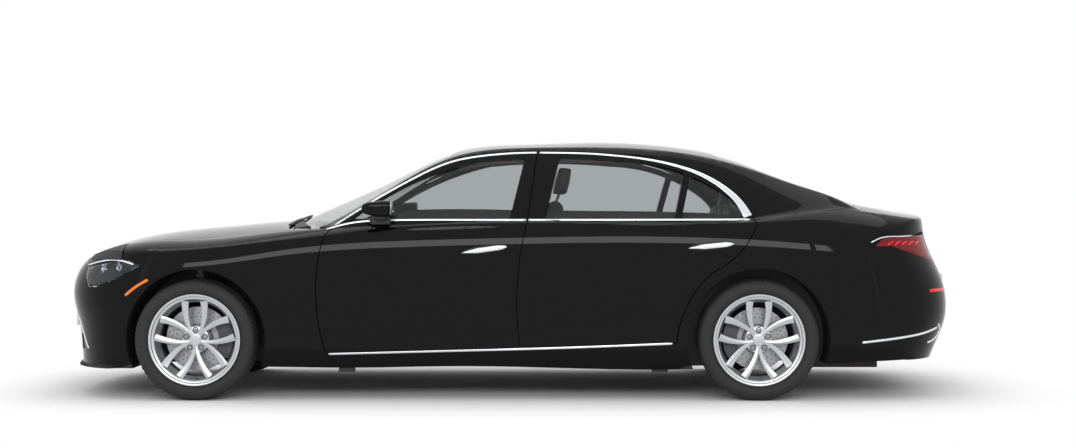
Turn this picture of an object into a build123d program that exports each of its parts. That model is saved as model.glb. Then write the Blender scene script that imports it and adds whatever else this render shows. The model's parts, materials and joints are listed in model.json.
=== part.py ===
from build123d import *
import math
import os

# A four-door luxury sedan with a long wheelbase, in millimetres.
# X runs from the nose to the tail, Y from the car's left side to its right, and Z is up.
# The origin is on the ground, under the middle of the car.

os.makedirs("parts", exist_ok=True)

# Overall sizes
LENGTH = 5289.0
WIDTH = 1954.0
HEIGHT = 1503.0
WHEELBASE = 3216.0
FRONT_OVERHANG = 869.0
BELT = 1025.0

# Wheels, tyres and brakes
TYRE_RADIUS = 345.0
TYRE_WIDTH = 255.0
TREAD_WIDTH = 226.0
RIM_RADIUS = 261.0
SEAT_RADIUS = 241.0
RIM_WIDTH = 228.0
FRONT_TRACK = 1660.0
REAR_TRACK = 1688.0
ARCH_CLEARANCE = 57.0
FRONT_DISC_RADIUS = 185.0
REAR_DISC_RADIUS = 180.0
DISC_THICKNESS = 32.0
SPOKE_PAIRS = 5
LUG_CIRCLE = 56.0
LUG_RADIUS = 16.0
SPINDLE_RADIUS = 24.0
PIN_CLEARANCE = 0.3

# Steering
KINGPIN_Y = 760.0
STEER_ROOM = 508.0

# Panels and gaps
GAP = 6.0
PANEL = 30.0
FLANGE = 45.0
PILLAR_STEP = 18.0
DOOR_INNER = 786.0
FLANGE_WIDTH = 58.0
GLASS = 5.0
GLASS_DEPTH = 7.0
BUMPER_WALL = 55.0
LAMP_DEPTH = 120.0
ROOF_WALL = 62.0
FLOOR_TOP = 300.0
FLOOR_UNDER = 235.0

FRONT = -LENGTH / 2 + FRONT_OVERHANG
REAR = FRONT + WHEELBASE
HALF = WIDTH / 2
GLASSHOUSE = HEIGHT - BELT
ARCH_RADIUS = TYRE_RADIUS + ARCH_CLEARANCE
FIREWALL = FRONT + 440
COWL = FRONT + 483
LID_FRONT = REAR + 618

# Body sections. Columns: x; bottom (in from HALF, z); sill (in, z); side middle (in, z);
# widest line (in, z); shoulder crease (in, z); upper edge (in, z); z on the centreline.
BODY = [
    (FRONT - 960, 127, 175, 92, 290, 79, 470, 77, 600, 107, 640, 337, 655, 672),
    (FRONT - 731, 122, 175, 89, 290, 75, 490, 69, 640, 97, 735, 297, 778, 822),
    (FRONT - 520, 115, 175, 84, 290, 67, 520, 55, 670, 82, 805, 262, 866, 905),
    (FRONT, 97, 187, 52, 290, 29, 540, 11, 715, 47, 863, 217, 917, 981),
    (FRONT + 508, 92, 187, 47, 290, 35, 540, 22, 745, 44, 915, 177, 966, 1024),
    (FRONT + 1175, 89, 187, 45, 290, 36, 540, 21, 780, 42, 966, 77, 1003, 1035),
    (FRONT + 1875, 87, 187, 43, 290, 34, 540, 17, 805, 40, 989, 75, 1024, 1040),
    (REAR, 87, 187, 39, 290, 17, 540, 2, 815, 37, 994, 84, 1028, 1080),
    (REAR + 576, 97, 215, 47, 310, 22, 540, 15, 800, 62, 966, 187, 1075, 1140),
    (REAR + 905, 112, 225, 62, 320, 37, 540, 35, 780, 87, 950, 232, 1040, 1082),
    (REAR + 1295, 127, 235, 82, 330, 62, 540, 62, 760, 127, 925, 287, 1008, 1052),
]

# Plan outline of the two ends. Columns: z; how far the nose and the tail lie inside LENGTH.
HULL = [
    (120, 60, 135),
    (290, 50, 68),
    (440, 30, 10),
    (580, 0.5, 3.8),
    (690, 16, 30),
    (800, 85, 80),
    (940, 260, 132),
    (1100, 420, 140),
]

# Glasshouse sections. Columns: x; foot (in from HALF, z); roof rail (in, share of GLASSHOUSE above
# BELT); centreline (share).
GREEN = [
    (FRONT + 376, 72, 700, 77, -0.60, -0.17),
    (FRONT + 516, 74, 780, 84, -0.40, 0.0),
    (FRONT + 776, 80, 930, 109, -0.08, 0.25),
    (FRONT + 1126, 80, 1000, 187, 0.405, 0.582),
    (FRONT + 1438, 80, 1015, 272, 0.753, 0.872),
    (FRONT + 1876, 80, 1022, 327, 0.886, 0.974),
    (FRONT + 2276, 81, 1025, 337, 0.892, 1.0),
    (REAR - 440, 84, 1027, 322, 0.829, 0.945),
    (REAR - 31, 92, 1028, 287, 0.630, 0.757),
    (REAR + 260, 115, 1030, 277, 0.420, 0.500),
    (REAR + 576, 177, 1000, 257, 0.150, 0.238),
    (REAR + 760, 217, 900, 237, -0.16, -0.03),
]


def bulged(a, b, bulge):
    """The middle of a shallow arc from a to b that stands out by the bulge."""
    run, rise = b[0] - a[0], b[1] - a[1]
    reach = math.hypot(run, rise)
    return ((a[0] + b[0]) / 2 + rise / reach * bulge, (a[1] + b[1]) / 2 - run / reach * bulge)


def flip(point):
    return (-point[0], point[1])


def lower_form(inset=0.0):
    """The lower body's sides and top, drawn in from the outer skin by the inset."""
    faces = []
    for (x, yb, zb, ysl, zsl, ym, zm, yx, zx, ys, zs, ye, ze, zc) in BODY:
        foot = (HALF - yb - inset, zb - inset)
        sill = (HALF - ysl - inset, zsl)
        middle = (HALF - ym - inset, zm)
        widest = (HALF - yx - inset, zx)
        crease = (HALF - ys - inset, zs - 0.6 * inset)
        edge = (HALF - ye - inset, ze - inset)
        top = (0, zc - inset)
        shoulder = bulged(widest, crease, 12)
        deck = bulged(crease, edge, 10)
        with BuildSketch(Plane.YZ.offset(x)) as section:
            with BuildLine():
                Line(flip(foot), foot)
                Line(foot, sill)
                ThreePointArc(sill, middle, widest)
                ThreePointArc(widest, shoulder, crease)
                ThreePointArc(crease, deck, edge)
                ThreePointArc(edge, top, flip(edge))
                ThreePointArc(flip(edge), flip(deck), flip(crease))
                ThreePointArc(flip(crease), flip(shoulder), flip(widest))
                ThreePointArc(flip(widest), flip(middle), flip(sill))
                Line(flip(sill), flip(foot))
            make_face()
        faces.append(section.sketch)
    with BuildPart() as form:
        loft(sections=faces)
    return form.part


def plan_form(inset=0.0):
    """The rounded plan of the nose and tail, which trims the lower body's ends."""
    faces = []
    nose, tail = -LENGTH / 2 + inset, LENGTH / 2 - inset
    corner_y = 560 - inset / 2
    for (z, nose_in, tail_in) in HULL:
        n1 = (nose + 78 + nose_in, corner_y)
        n2 = (FRONT - 325 + nose_in * 0.6, HALF - 52)
        n3 = (FRONT - 60 + nose_in * 0.6, HALF + 223)
        t1 = (tail - 50 - tail_in, corner_y)
        t2 = (REAR + 690 - tail_in * 0.6, HALF - 41)
        t3 = (REAR + 450 - tail_in * 0.6, HALF + 223)
        with BuildSketch(Plane.XY.offset(z)) as section:
            with BuildLine():
                front = ThreePointArc((n1[0], -n1[1]), (nose + nose_in, 0), n1)
                TangentArc(n1, n2, tangent=front % 1)
                Polyline(n2, n3, t3, t2)
                back = ThreePointArc(t1, (tail - tail_in, 0), (t1[0], -t1[1]))
                TangentArc(t1, t2, tangent=-(back % 0))
                TangentArc((t1[0], -t1[1]), (t2[0], -t2[1]), tangent=back % 1)
                Polyline((t2[0], -t2[1]), (t3[0], -t3[1]), (n3[0], -n3[1]), (n2[0], -n2[1]))
                TangentArc((n1[0], -n1[1]), (n2[0], -n2[1]), tangent=-(front % 0))
            make_face()
        faces.append(section.sketch)
    with BuildPart() as form:
        loft(sections=faces)
    return form.part


def upper_form(inset=0.0, foot_z=500.0):
    """The glasshouse over the belt, drawn in from the outer skin by the inset."""
    faces = []
    for (x, yf, zf, yr, up_r, up_c) in GREEN:
        foot = (HALF - yf - inset, zf - inset)
        rail = (HALF - yr - 0.8 * inset, BELT + up_r * GLASSHOUSE - inset)
        top = (0, BELT + up_c * GLASSHOUSE - inset)
        low = (foot[0], foot_z)
        side = bulged(foot, rail, 0.045 * math.dist(foot, rail))
        with BuildSketch(Plane.YZ.offset(x)) as section:
            with BuildLine():
                Line(flip(low), low)
                Line(low, foot)
                ThreePointArc(foot, side, rail)
                ThreePointArc(rail, top, flip(rail))
                ThreePointArc(flip(rail), flip(side), flip(foot))
                Line(flip(foot), flip(low))
            make_face()
        faces.append(section.sketch)
    with BuildPart() as form:
        loft(sections=faces)
    return form.part


def whole_form(inset=0.0, end_inset=None):
    """The whole car's outer shape, drawn in by the inset."""
    with BuildPart() as form:
        add(lower_form(inset))
        add(plan_form(inset if end_inset is None else end_inset), mode=Mode.INTERSECT)
        add(upper_form(inset))
    return form.part


def side_prism(face, y_from, y_to):
    """A side profile, drawn in X and Z, pulled across the car."""
    with BuildPart() as prism:
        add(extrude(Plane.XZ.offset(-y_to) * face, amount=y_to - y_from))
    return prism.part


def plan_prism(face, z_from, z_to):
    """A plan profile, drawn in X and Y, pulled upward."""
    with BuildPart() as prism:
        add(extrude(Plane.XY.offset(z_from) * face, amount=z_to - z_from))
    return prism.part


def block(x0, x1, y0, y1, z0, z1):
    with BuildPart() as solid:
        with Locations(((x0 + x1) / 2, (y0 + y1) / 2, (z0 + z1) / 2)):
            Box(x1 - x0, y1 - y0, z1 - z0)
    return solid.part


def rod(start, end, radius):
    with BuildPart() as solid:
        path = Line(start, end)
        with BuildSketch(Plane(origin=start, z_dir=path % 0)):
            Circle(radius)
        extrude(amount=path.length)
    return solid.part


def grown(face, amount):
    with BuildSketch() as bigger:
        add(face)
        offset(amount=amount)
    return bigger.sketch


# Side profiles, as X and Z
DOOR_LOW = 268.0
SILL_RISE = 0.0315
FRONT_SHUT = FRONT + 700
B_SHUT = FRONT + 1836


def door_low(x):
    """The doors' lower edge climbs gently toward the tail, as the bright strip under it does."""
    return DOOR_LOW + SILL_RISE * (x - FRONT_SHUT)


P_FRONT_LOW = (FRONT_SHUT + 51, door_low(FRONT_SHUT + 51))
P_FRONT_MID = (FRONT_SHUT - 5, 673)
P_FRONT_TOP = (FRONT_SHUT + 42, 940)
P_TIP = (FRONT_SHUT + 66, 976)
P_RAIL_A = (FRONT + 1246, BELT + 0.529 * GLASSHOUSE)
P_RAIL_B = (FRONT + 1630, BELT + 0.795 * GLASSHOUSE)
P_RAIL_C = (FRONT + 2076, BELT + 0.836 * GLASSHOUSE)
P_RAIL_D = (REAR - 782, BELT + 0.797 * GLASSHOUSE)
P_RAIL_E = (REAR - 445, BELT + 0.672 * GLASSHOUSE)
P_RAIL_F = (REAR - 163, BELT + 0.368 * GLASSHOUSE)
P_RAIL_G = (REAR - 75, BELT + 0.186 * GLASSHOUSE)
P_REAR_TOP = (REAR - 15, BELT - 22)
P_REAR_HAUNCH = (REAR - 121, 838)
P_REAR_MID = (REAR - 259, 739)
P_REAR_ARCH = (REAR - 400, 570)
P_REAR_LOW = (REAR - 471, door_low(REAR - 471))
P_B_TOP = (B_SHUT + 133, HEIGHT)
P_B_BELT = (B_SHUT + 60, BELT)
P_B_MID = (B_SHUT, 580)
P_B_LOW = (B_SHUT + 30, DOOR_LOW - 40)


def doors_face():
    """Both doors of one side in one outline."""
    with BuildSketch() as face:
        with BuildLine():
            ThreePointArc(P_FRONT_LOW, P_FRONT_MID, P_FRONT_TOP)
            Line(P_FRONT_TOP, P_TIP)
            ThreePointArc(P_TIP, P_RAIL_A, P_RAIL_B)
            ThreePointArc(P_RAIL_B, P_RAIL_C, P_RAIL_D)
            ThreePointArc(P_RAIL_D, P_RAIL_E, P_RAIL_F)
            ThreePointArc(P_RAIL_F, P_RAIL_G, P_REAR_TOP)
            ThreePointArc(P_REAR_TOP, P_REAR_HAUNCH, P_REAR_MID)
            ThreePointArc(P_REAR_MID, P_REAR_ARCH, P_REAR_LOW)
            Line(P_REAR_LOW, P_FRONT_LOW)
        make_face()
    return face.sketch


def before_b_face(shift):
    """Everything ahead of the line where the two doors meet, moved by the shift."""
    far = FRONT - 200
    with BuildSketch() as face:
        with BuildLine():
            top = (P_B_TOP[0] + shift, P_B_TOP[1] + 40)
            belt = (P_B_BELT[0] + shift, P_B_BELT[1])
            mid = (P_B_MID[0] + shift, P_B_MID[1])
            low = (P_B_LOW[0] + shift, P_B_LOW[1])
            Line(top, belt)
            ThreePointArc(belt, mid, low)
            Polyline(low, (far, low[1]), (far, top[1]), top)
        make_face()
    return face.sketch


def front_door_face(grow=0.0):
    with BuildSketch() as face:
        add(doors_face())
        add(before_b_face(-GAP / 2), mode=Mode.INTERSECT)
        if grow:
            offset(amount=grow)
    return face.sketch


def rear_door_face(grow=0.0):
    with BuildSketch() as face:
        add(doors_face())
        add(before_b_face(GAP / 2), mode=Mode.SUBTRACT)
        if grow:
            offset(amount=grow)
    return face.sketch


WINDOW_FRAME = 34.0
WINDOW_SILL = 1034.0
DIVISION_BAR = REAR - 477.0
BAR_WIDTH = 40.0


def window_face(door, front_x, rear_x, lean):
    """The part of a door above the belt, inside its frame, between two leaning posts."""
    with BuildSketch() as face:
        add(grown(door, -WINDOW_FRAME))
        with BuildLine():
            rise = HEIGHT - WINDOW_SILL
            Polyline((front_x, WINDOW_SILL), (rear_x, WINDOW_SILL), (rear_x + lean * rise, HEIGHT),
                     (front_x + lean * rise, HEIGHT), close=True)
        make_face(mode=Mode.INTERSECT)
    return face.sketch


# The outer skin and the layers under it
skin = whole_form()
panel_core = whole_form(PANEL)
door_core = whole_form(FLANGE)
pillar_core = whole_form(FLANGE + PILLAR_STEP)
bumper_core = whole_form(BUMPER_WALL, BUMPER_WALL + 35)
lamp_core = whole_form(LAMP_DEPTH, LAMP_DEPTH + 60)


def wheel_well(x, radius, inner_y):
    with BuildPart() as well:
        for side in (-1, 1):
            with BuildSketch(Plane.XZ.offset(side * (HALF + 60))):
                with Locations((x, TYRE_RADIUS)):
                    Circle(radius)
            extrude(amount=-side * (HALF + 60 - inner_y))
    return well.part


REAR_WELL_IN = 684.0
front_wells = wheel_well(FRONT, ARCH_RADIUS, STEER_ROOM)
rear_wells = wheel_well(REAR, ARCH_RADIUS + 6, REAR_WELL_IN)
rear_liners = wheel_well(REAR, ARCH_RADIUS + 26, REAR_WELL_IN - 16)


# The cabin's inside, with a tunnel along the floor's middle and a step up under the rear bench
CABIN_BACK = REAR - 60.0
BENCH_X = REAR - 680.0
BENCH_LOW = 436.0
TUNNEL_HALF = 98.0
TUNNEL_TOP = 425.0
TUNNEL_WALL = 20.0
TUNNEL_END = FIREWALL + 1100
SHAFT_TUNNEL_HALF = 50.0
SHAFT_TUNNEL_TOP = 372.0


def cabin_face():
    with BuildSketch() as face:
        with BuildLine():
            Polyline(
                (FIREWALL, FLOOR_TOP), (BENCH_X, FLOOR_TOP), (BENCH_X, BENCH_LOW),
                (CABIN_BACK - 140, BENCH_LOW), (CABIN_BACK, 520),
                (CABIN_BACK + 30, 1000), (REAR + 520, 1060), (REAR + 520, HEIGHT),
                (FIREWALL, HEIGHT), close=True)
        make_face()
    return face.sketch


with BuildPart() as cabin_space:
    add(upper_form(ROOF_WALL, FLOOR_TOP - 20))
    add(side_prism(cabin_face(), -DOOR_INNER, DOOR_INNER), mode=Mode.INTERSECT)
    add(rear_liners, mode=Mode.SUBTRACT)
    add(block(FIREWALL - 60, TUNNEL_END + TUNNEL_WALL, -TUNNEL_HALF - TUNNEL_WALL, TUNNEL_HALF + TUNNEL_WALL,
              0, TUNNEL_TOP + TUNNEL_WALL), mode=Mode.SUBTRACT)
    add(block(TUNNEL_END, BENCH_X, -SHAFT_TUNNEL_HALF - TUNNEL_WALL, SHAFT_TUNNEL_HALF + TUNNEL_WALL,
              0, SHAFT_TUNNEL_TOP + TUNNEL_WALL), mode=Mode.SUBTRACT)

# Engine bay, boot and the hollow nose
BAY_HALF = STEER_ROOM - 22
with BuildPart() as bay_space:
    add(block(FRONT - 560, FIREWALL - 25, -BAY_HALF, BAY_HALF, 100, HEIGHT))
    add(block(FRONT - 560, FIREWALL - 25, -690, 690, ARCH_RADIUS + TYRE_RADIUS + 22, HEIGHT))
    add(lower_form(PANEL + GAP + 30), mode=Mode.INTERSECT)

BOOT_FRONT = REAR + 60.0
BOOT_BACK = REAR + 1052.0
with BuildPart() as boot_space:
    add(block(BOOT_FRONT, BOOT_BACK, -800, 800, 430, HEIGHT))
    add(lower_form(PANEL + GAP + 30), mode=Mode.INTERSECT)
    add(rear_liners, mode=Mode.SUBTRACT)
    add(side_prism(cabin_face(), -HALF, HALF), mode=Mode.SUBTRACT)


# Hood, lid and screens in plan
HOOD_NOSE = FRONT - 792.0
HOOD_SIDE = 712.0
HOOD_REAR_SIDE = 786.0


def hood_face(grow=0.0):
    with BuildSketch() as face:
        with BuildLine():
            nose_corner = (HOOD_NOSE + 118, HOOD_SIDE - 62)
            mid = (FRONT - 100, HOOD_SIDE + 22)
            back = (COWL + 62, HOOD_REAR_SIDE)
            ThreePointArc(flip_y(nose_corner), (HOOD_NOSE, 0), nose_corner)
            ThreePointArc(nose_corner, mid, back)
            ThreePointArc(back, (COWL, 0), flip_y(back))
            ThreePointArc(flip_y(back), flip_y(mid), flip_y(nose_corner))
        make_face()
        if grow:
            offset(amount=grow)
    return face.sketch


def flip_y(point):
    return (point[0], -point[1])


LID_SIDE = 668.0
LID_LOW = 690.0


def lid_face(grow=0.0):
    with BuildSketch() as face:
        with BuildLine():
            front_corner = (LID_FRONT - 28, LID_SIDE)
            rear_corner = (LENGTH / 2 + 60, 604)
            ThreePointArc(flip_y(front_corner), (LID_FRONT + 22, 0), front_corner)
            ThreePointArc(front_corner, (REAR + 920, LID_SIDE - 20), rear_corner)
            Line(rear_corner, flip_y(rear_corner))
            ThreePointArc(flip_y(rear_corner), (REAR + 920, 20 - LID_SIDE), flip_y(front_corner))
        make_face()
        if grow:
            offset(amount=grow)
    return face.sketch


def windshield_face(grow=0.0):
    with BuildSketch() as face:
        with BuildLine():
            low = (FRONT + 640, 768)
            high = (FRONT + 1436, 628)
            ThreePointArc(flip_y(low), (FRONT + 521, 0), low)
            ThreePointArc(low, (FRONT + 1050, 722), high)
            ThreePointArc(high, (FRONT + 1462, 0), flip_y(high))
            ThreePointArc(flip_y(high), (FRONT + 1050, -722), flip_y(low))
        make_face()
        if grow:
            offset(amount=grow)
    return face.sketch


def rear_window_face(grow=0.0):
    with BuildSketch() as face:
        with BuildLine():
            high = (REAR - 190, 560)
            low = (REAR + 470, 632)
            ThreePointArc(flip_y(high), (REAR - 236, 0), high)
            ThreePointArc(high, (REAR + 160, 616), low)
            ThreePointArc(low, (REAR + 566, 0), flip_y(low))
            ThreePointArc(flip_y(low), (REAR + 160, -616), flip_y(high))
        make_face()
        if grow:
            offset(amount=grow)
    return face.sketch


# Side profile of the nose under the hood and ahead of the wheel: the bumper
def nose_face():
    far = -LENGTH / 2 - 60
    with BuildSketch() as face:
        with BuildLine():
            Polyline(
                (FRONT - 60, 100), (FRONT - 60, 731), (FRONT - 220, 731), (FRONT - 314, 766),
                (FRONT - 430, 800), (far, 800), (far, 100), close=True)
        make_face()
    return face.sketch


def headlamp_face(grow=0.0):
    with BuildSketch() as face:
        with BuildLine():
            Polyline(
                (FRONT - 314, 769), (FRONT - 377, 797), (FRONT - 423, 800), (FRONT - 660, 752),
                (FRONT - 668, 700), (FRONT - 640, 640), (FRONT - 570, 645), (FRONT - 440, 700),
                close=True)
        make_face()
        if grow:
            offset(amount=grow)
    return face.sketch


def tail_face():
    far = LENGTH / 2 + 60
    with BuildSketch() as face:
        with BuildLine():
            Polyline(
                (REAR + 60, 100), (REAR + 60, 682), (REAR + 280, 682), (REAR + 395, 706),
                (REAR + 560, 800), (REAR + 666, 886), (far, 886), (far, 100), close=True)
        make_face()
    return face.sketch


def tail_lamp_face(grow=0.0):
    with BuildSketch() as face:
        with BuildLine():
            Polyline(
                (REAR + 664, 878), (REAR + 712, 922), (REAR + 980, 940), (LENGTH / 2 + 60, 940),
                (LENGTH / 2 + 60, 796), (REAR + 992, 803), (REAR + 764, 880), close=True)
        make_face()
        if grow:
            offset(amount=grow)
    return face.sketch


# Body panels
LAMP_INNER_Y = 470.0
TAIL_LAMP_INNER = LID_SIDE - 12
ROOF_SEAM = 560.0
SCREEN_TOP_Z = 700.0

hood_zone = plan_prism(hood_face(), 640, HEIGHT)
hood_gap_zone = plan_prism(hood_face(GAP), 640, HEIGHT)
lid_zone = plan_prism(lid_face(), LID_LOW, HEIGHT)
lid_gap_zone = plan_prism(lid_face(GAP), LID_LOW - GAP, HEIGHT)
windshield_zone = plan_prism(windshield_face(), SCREEN_TOP_Z, HEIGHT + 50)
rear_window_zone = plan_prism(rear_window_face(), SCREEN_TOP_Z, HEIGHT + 50)
nose_zone = side_prism(nose_face(), -HALF - 50, HALF + 50)
tail_zone = side_prism(tail_face(), -HALF - 50, HALF + 50)
ahead_of_doors = block(-LENGTH, FRONT_SHUT + 120, -HALF - 60, HALF + 60, 0, HEIGHT)


def both_sides(face, y_in, y_out):
    """The same side profile pulled over both of the car's sides."""
    with BuildPart() as pair:
        add(side_prism(face, -y_out, -y_in))
        add(side_prism(face, y_in, y_out))
    return pair.part


headlamp_zone = both_sides(headlamp_face(), LAMP_INNER_Y, HALF + 50)
tail_lamp_zone = both_sides(tail_lamp_face(), TAIL_LAMP_INNER, HALF + 50)
front_door_zone = side_prism(front_door_face(), -HALF - 60, -ROOF_SEAM - GAP)
rear_door_zone = side_prism(rear_door_face(), -HALF - 60, -ROOF_SEAM - GAP)
windshield_gap = plan_prism(windshield_face(GAP), SCREEN_TOP_Z, HEIGHT + 50)
door_openings = both_sides(grown(doors_face(), GAP), 300, HALF + 60)

with BuildPart() as hood:
    add(skin)
    add(hood_zone, mode=Mode.INTERSECT)
    add(panel_core, mode=Mode.SUBTRACT)
hood.part.label = "hood"
export_step(hood.part, "parts/hood.step")

with BuildPart() as trunk_lid:
    add(skin)
    add(lid_zone, mode=Mode.INTERSECT)
    add(panel_core, mode=Mode.SUBTRACT)
    add(plan_prism(rear_window_face(GAP), SCREEN_TOP_Z, HEIGHT), mode=Mode.SUBTRACT)
trunk_lid.part.label = "trunk_lid"
export_step(trunk_lid.part, "parts/trunk_lid.step")


# The front bumper is a shell, open at the grille, the lower intakes and the number plate's recess
GRILLE_TOP = 776.0
GRILLE_LOW = 520.0
GRILLE_TOP_HALF = 420.0
GRILLE_LOW_HALF = 370.0
GRILLE_DEPTH = 95.0
SLATS = 4
SLAT_HEIGHT = 14.0
INTAKE_LOW = 262.0
INTAKE_TOP = 372.0
INTAKE_HALF = 400.0
CORNER_INTAKE_IN = 500.0
CORNER_INTAKE_OUT = 790.0


def grille_face(grow=0.0):
    """The grille's mouth seen from the front, as Y and Z."""
    with BuildSketch() as face:
        with BuildLine():
            top, low = (GRILLE_TOP_HALF, GRILLE_TOP - 34), (GRILLE_LOW_HALF, GRILLE_LOW)
            ThreePointArc(flip(top), (0, GRILLE_TOP), top)
            ThreePointArc(top, (GRILLE_TOP_HALF - 8, 640), low)
            ThreePointArc(low, (0, GRILLE_LOW - 12), flip(low))
            ThreePointArc(flip(low), (8 - GRILLE_TOP_HALF, 640), flip(top))
        make_face()
        if grow:
            offset(amount=grow)
    return face.sketch


def with_mirror(piece):
    """A piece of the left side, and its mirror image on the right."""
    other = mirror(piece, about=Plane.XZ)
    with BuildPart() as pair:
        add(piece)
        add(other)
    return pair.part


def front_prism(face, x_from, x_to):
    """A profile seen from the front, as Y and Z, pulled along the car."""
    with BuildPart() as prism:
        add(extrude(Plane.YZ.offset(x_from) * face, amount=x_to - x_from))
    return prism.part


def intake_face():
    with BuildSketch() as face:
        with BuildLine():
            Polyline((-INTAKE_HALF - 40, INTAKE_LOW), (INTAKE_HALF + 40, INTAKE_LOW), (INTAKE_HALF, INTAKE_TOP),
                     (-INTAKE_HALF, INTAKE_TOP), close=True)
        make_face()
        for side in (-1, 1):
            with BuildLine():
                Polyline((side * CORNER_INTAKE_IN, INTAKE_LOW), (side * CORNER_INTAKE_OUT, INTAKE_LOW + 22),
                         (side * (CORNER_INTAKE_OUT - 10), INTAKE_TOP - 22),
                         (side * (CORNER_INTAKE_IN - 34), INTAKE_TOP + 4), close=True)
            make_face()
    return face.sketch


grille_hole = front_prism(grille_face(), -LENGTH, FRONT - 500)
intake_holes = front_prism(intake_face(), -LENGTH, FRONT - 700)

with BuildPart() as front_bumper:
    add(skin)
    add(nose_zone, mode=Mode.INTERSECT)
    add([hood_gap_zone, headlamp_zone, front_wells, grille_hole, intake_holes], mode=Mode.SUBTRACT)
    add(bumper_core, mode=Mode.SUBTRACT)
front_bumper.part.label = "front_bumper"
export_step(front_bumper.part, "parts/front_bumper.step")

# The grille: a chrome surround that carries slats across a dark back
GRILLE_FRAME = 24.0
with BuildPart() as grille_layer:
    add(skin)
    add(grille_hole, mode=Mode.INTERSECT)
    add(hood_gap_zone, mode=Mode.SUBTRACT)
    add(bumper_core, mode=Mode.SUBTRACT)
with BuildPart() as between_slats:
    add(front_prism(grille_face(-GRILLE_FRAME), -LENGTH, FRONT - 500))
    for row in range(SLATS):
        pitch = (GRILLE_TOP - 60 - GRILLE_LOW) / SLATS
        z = GRILLE_LOW + pitch * (row + 0.5)
        add(block(-LENGTH, FRONT, -HALF, HALF, z - SLAT_HEIGHT / 2, z + SLAT_HEIGHT / 2), mode=Mode.SUBTRACT)
with BuildPart() as grille:
    add(grille_layer.part)
    add(between_slats.part, mode=Mode.SUBTRACT)
grille.part.label = "grille"
export_step(grille.part, "parts/grille.step")

with BuildPart() as headlamp_room:
    add(headlamp_zone)
    add(lamp_core, mode=Mode.SUBTRACT)
with BuildPart() as headlamps:
    add(skin)
    add(headlamp_room.part, mode=Mode.INTERSECT)
    add(hood_gap_zone, mode=Mode.SUBTRACT)
headlamps.part.label = "headlamps"
export_step(headlamps.part, "parts/headlamps.step")

with BuildPart() as fender_room_left:
    add(block(FRONT - 430, FRONT_SHUT + 90, -HALF, 0, 0, 1020))
    add(block(-LENGTH, LENGTH, 150 - HALF, HALF - 150, 0, 850), mode=Mode.SUBTRACT)
    add(block(COWL - 60, FRONT_SHUT + 120, 60 - HOOD_REAR_SIDE, HOOD_REAR_SIDE - 60, 0, HEIGHT),
        mode=Mode.SUBTRACT)
    add([upper_form(), nose_zone, hood_gap_zone, headlamp_zone, front_wells, door_openings, windshield_gap],
        mode=Mode.SUBTRACT)
    add(panel_core, mode=Mode.SUBTRACT)
with BuildPart() as fender_left:
    add(skin)
    add(fender_room_left.part, mode=Mode.INTERSECT)
fender_room = with_mirror(fender_room_left.part)
front_fenders = with_mirror(fender_left.part)
front_fenders.label = "front_fenders"
export_step(front_fenders, "parts/front_fenders.step")

with BuildPart() as rear_bumper:
    add(skin)
    add(tail_zone, mode=Mode.INTERSECT)
    add([lid_gap_zone, tail_lamp_zone, rear_wells], mode=Mode.SUBTRACT)
    add(bumper_core, mode=Mode.SUBTRACT)
rear_bumper.part.label = "rear_bumper"
export_step(rear_bumper.part, "parts/rear_bumper.step")

with BuildPart() as tail_lamp_room:
    add(tail_lamp_zone)
    add(lamp_core, mode=Mode.SUBTRACT)
with BuildPart() as tail_lamps:
    add(skin)
    add(tail_lamp_room.part, mode=Mode.INTERSECT)
tail_lamps.part.label = "tail_lamps"
export_step(tail_lamps.part, "parts/tail_lamps.step")

# Windshield and rear window: sheets a little under the skin, bonded into their openings
glass_outer = whole_form(GLASS_DEPTH)
glass_inner = whole_form(GLASS_DEPTH + GLASS)
with BuildPart() as windshield:
    add(glass_outer)
    add(windshield_zone, mode=Mode.INTERSECT)
    add(glass_inner, mode=Mode.SUBTRACT)
windshield.part.label = "windshield"
export_step(windshield.part, "parts/windshield.step")
with BuildPart() as rear_window:
    add(glass_outer)
    add(rear_window_zone, mode=Mode.INTERSECT)
    add(glass_inner, mode=Mode.SUBTRACT)
rear_window.part.label = "rear_window"
export_step(rear_window.part, "parts/rear_window.step")


# The body shell: roof, pillars, quarter panels, sills and floor in one, with everything else's room cut out
B_STRIP = 52.0
PILLAR_DEPTH = 104.0
door_box_front = grown(front_door_face(), -FLANGE_WIDTH)
door_box_rear = grown(rear_door_face(), -FLANGE_WIDTH)
BOX_TOP = WINDOW_SILL - 12.0


def box_zone(face, grow, y_in):
    """The deep middle of a door, below its window, over both of the car's sides."""
    with BuildPart() as zone:
        add(both_sides(grown(face, grow) if grow else face, y_in, HALF + 60))
        add(block(-LENGTH, LENGTH, -LENGTH, LENGTH, 0, BOX_TOP + grow), mode=Mode.INTERSECT)
    return zone.part


def b_strip_face():
    with BuildSketch() as face:
        with BuildLine():
            Polyline((P_B_TOP[0] - B_STRIP, HEIGHT), (P_B_TOP[0] + B_STRIP, HEIGHT),
                     (P_B_BELT[0] + B_STRIP, BELT - 20), (P_B_BELT[0] - B_STRIP, BELT - 20), close=True)
        make_face()
    return face.sketch


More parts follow.
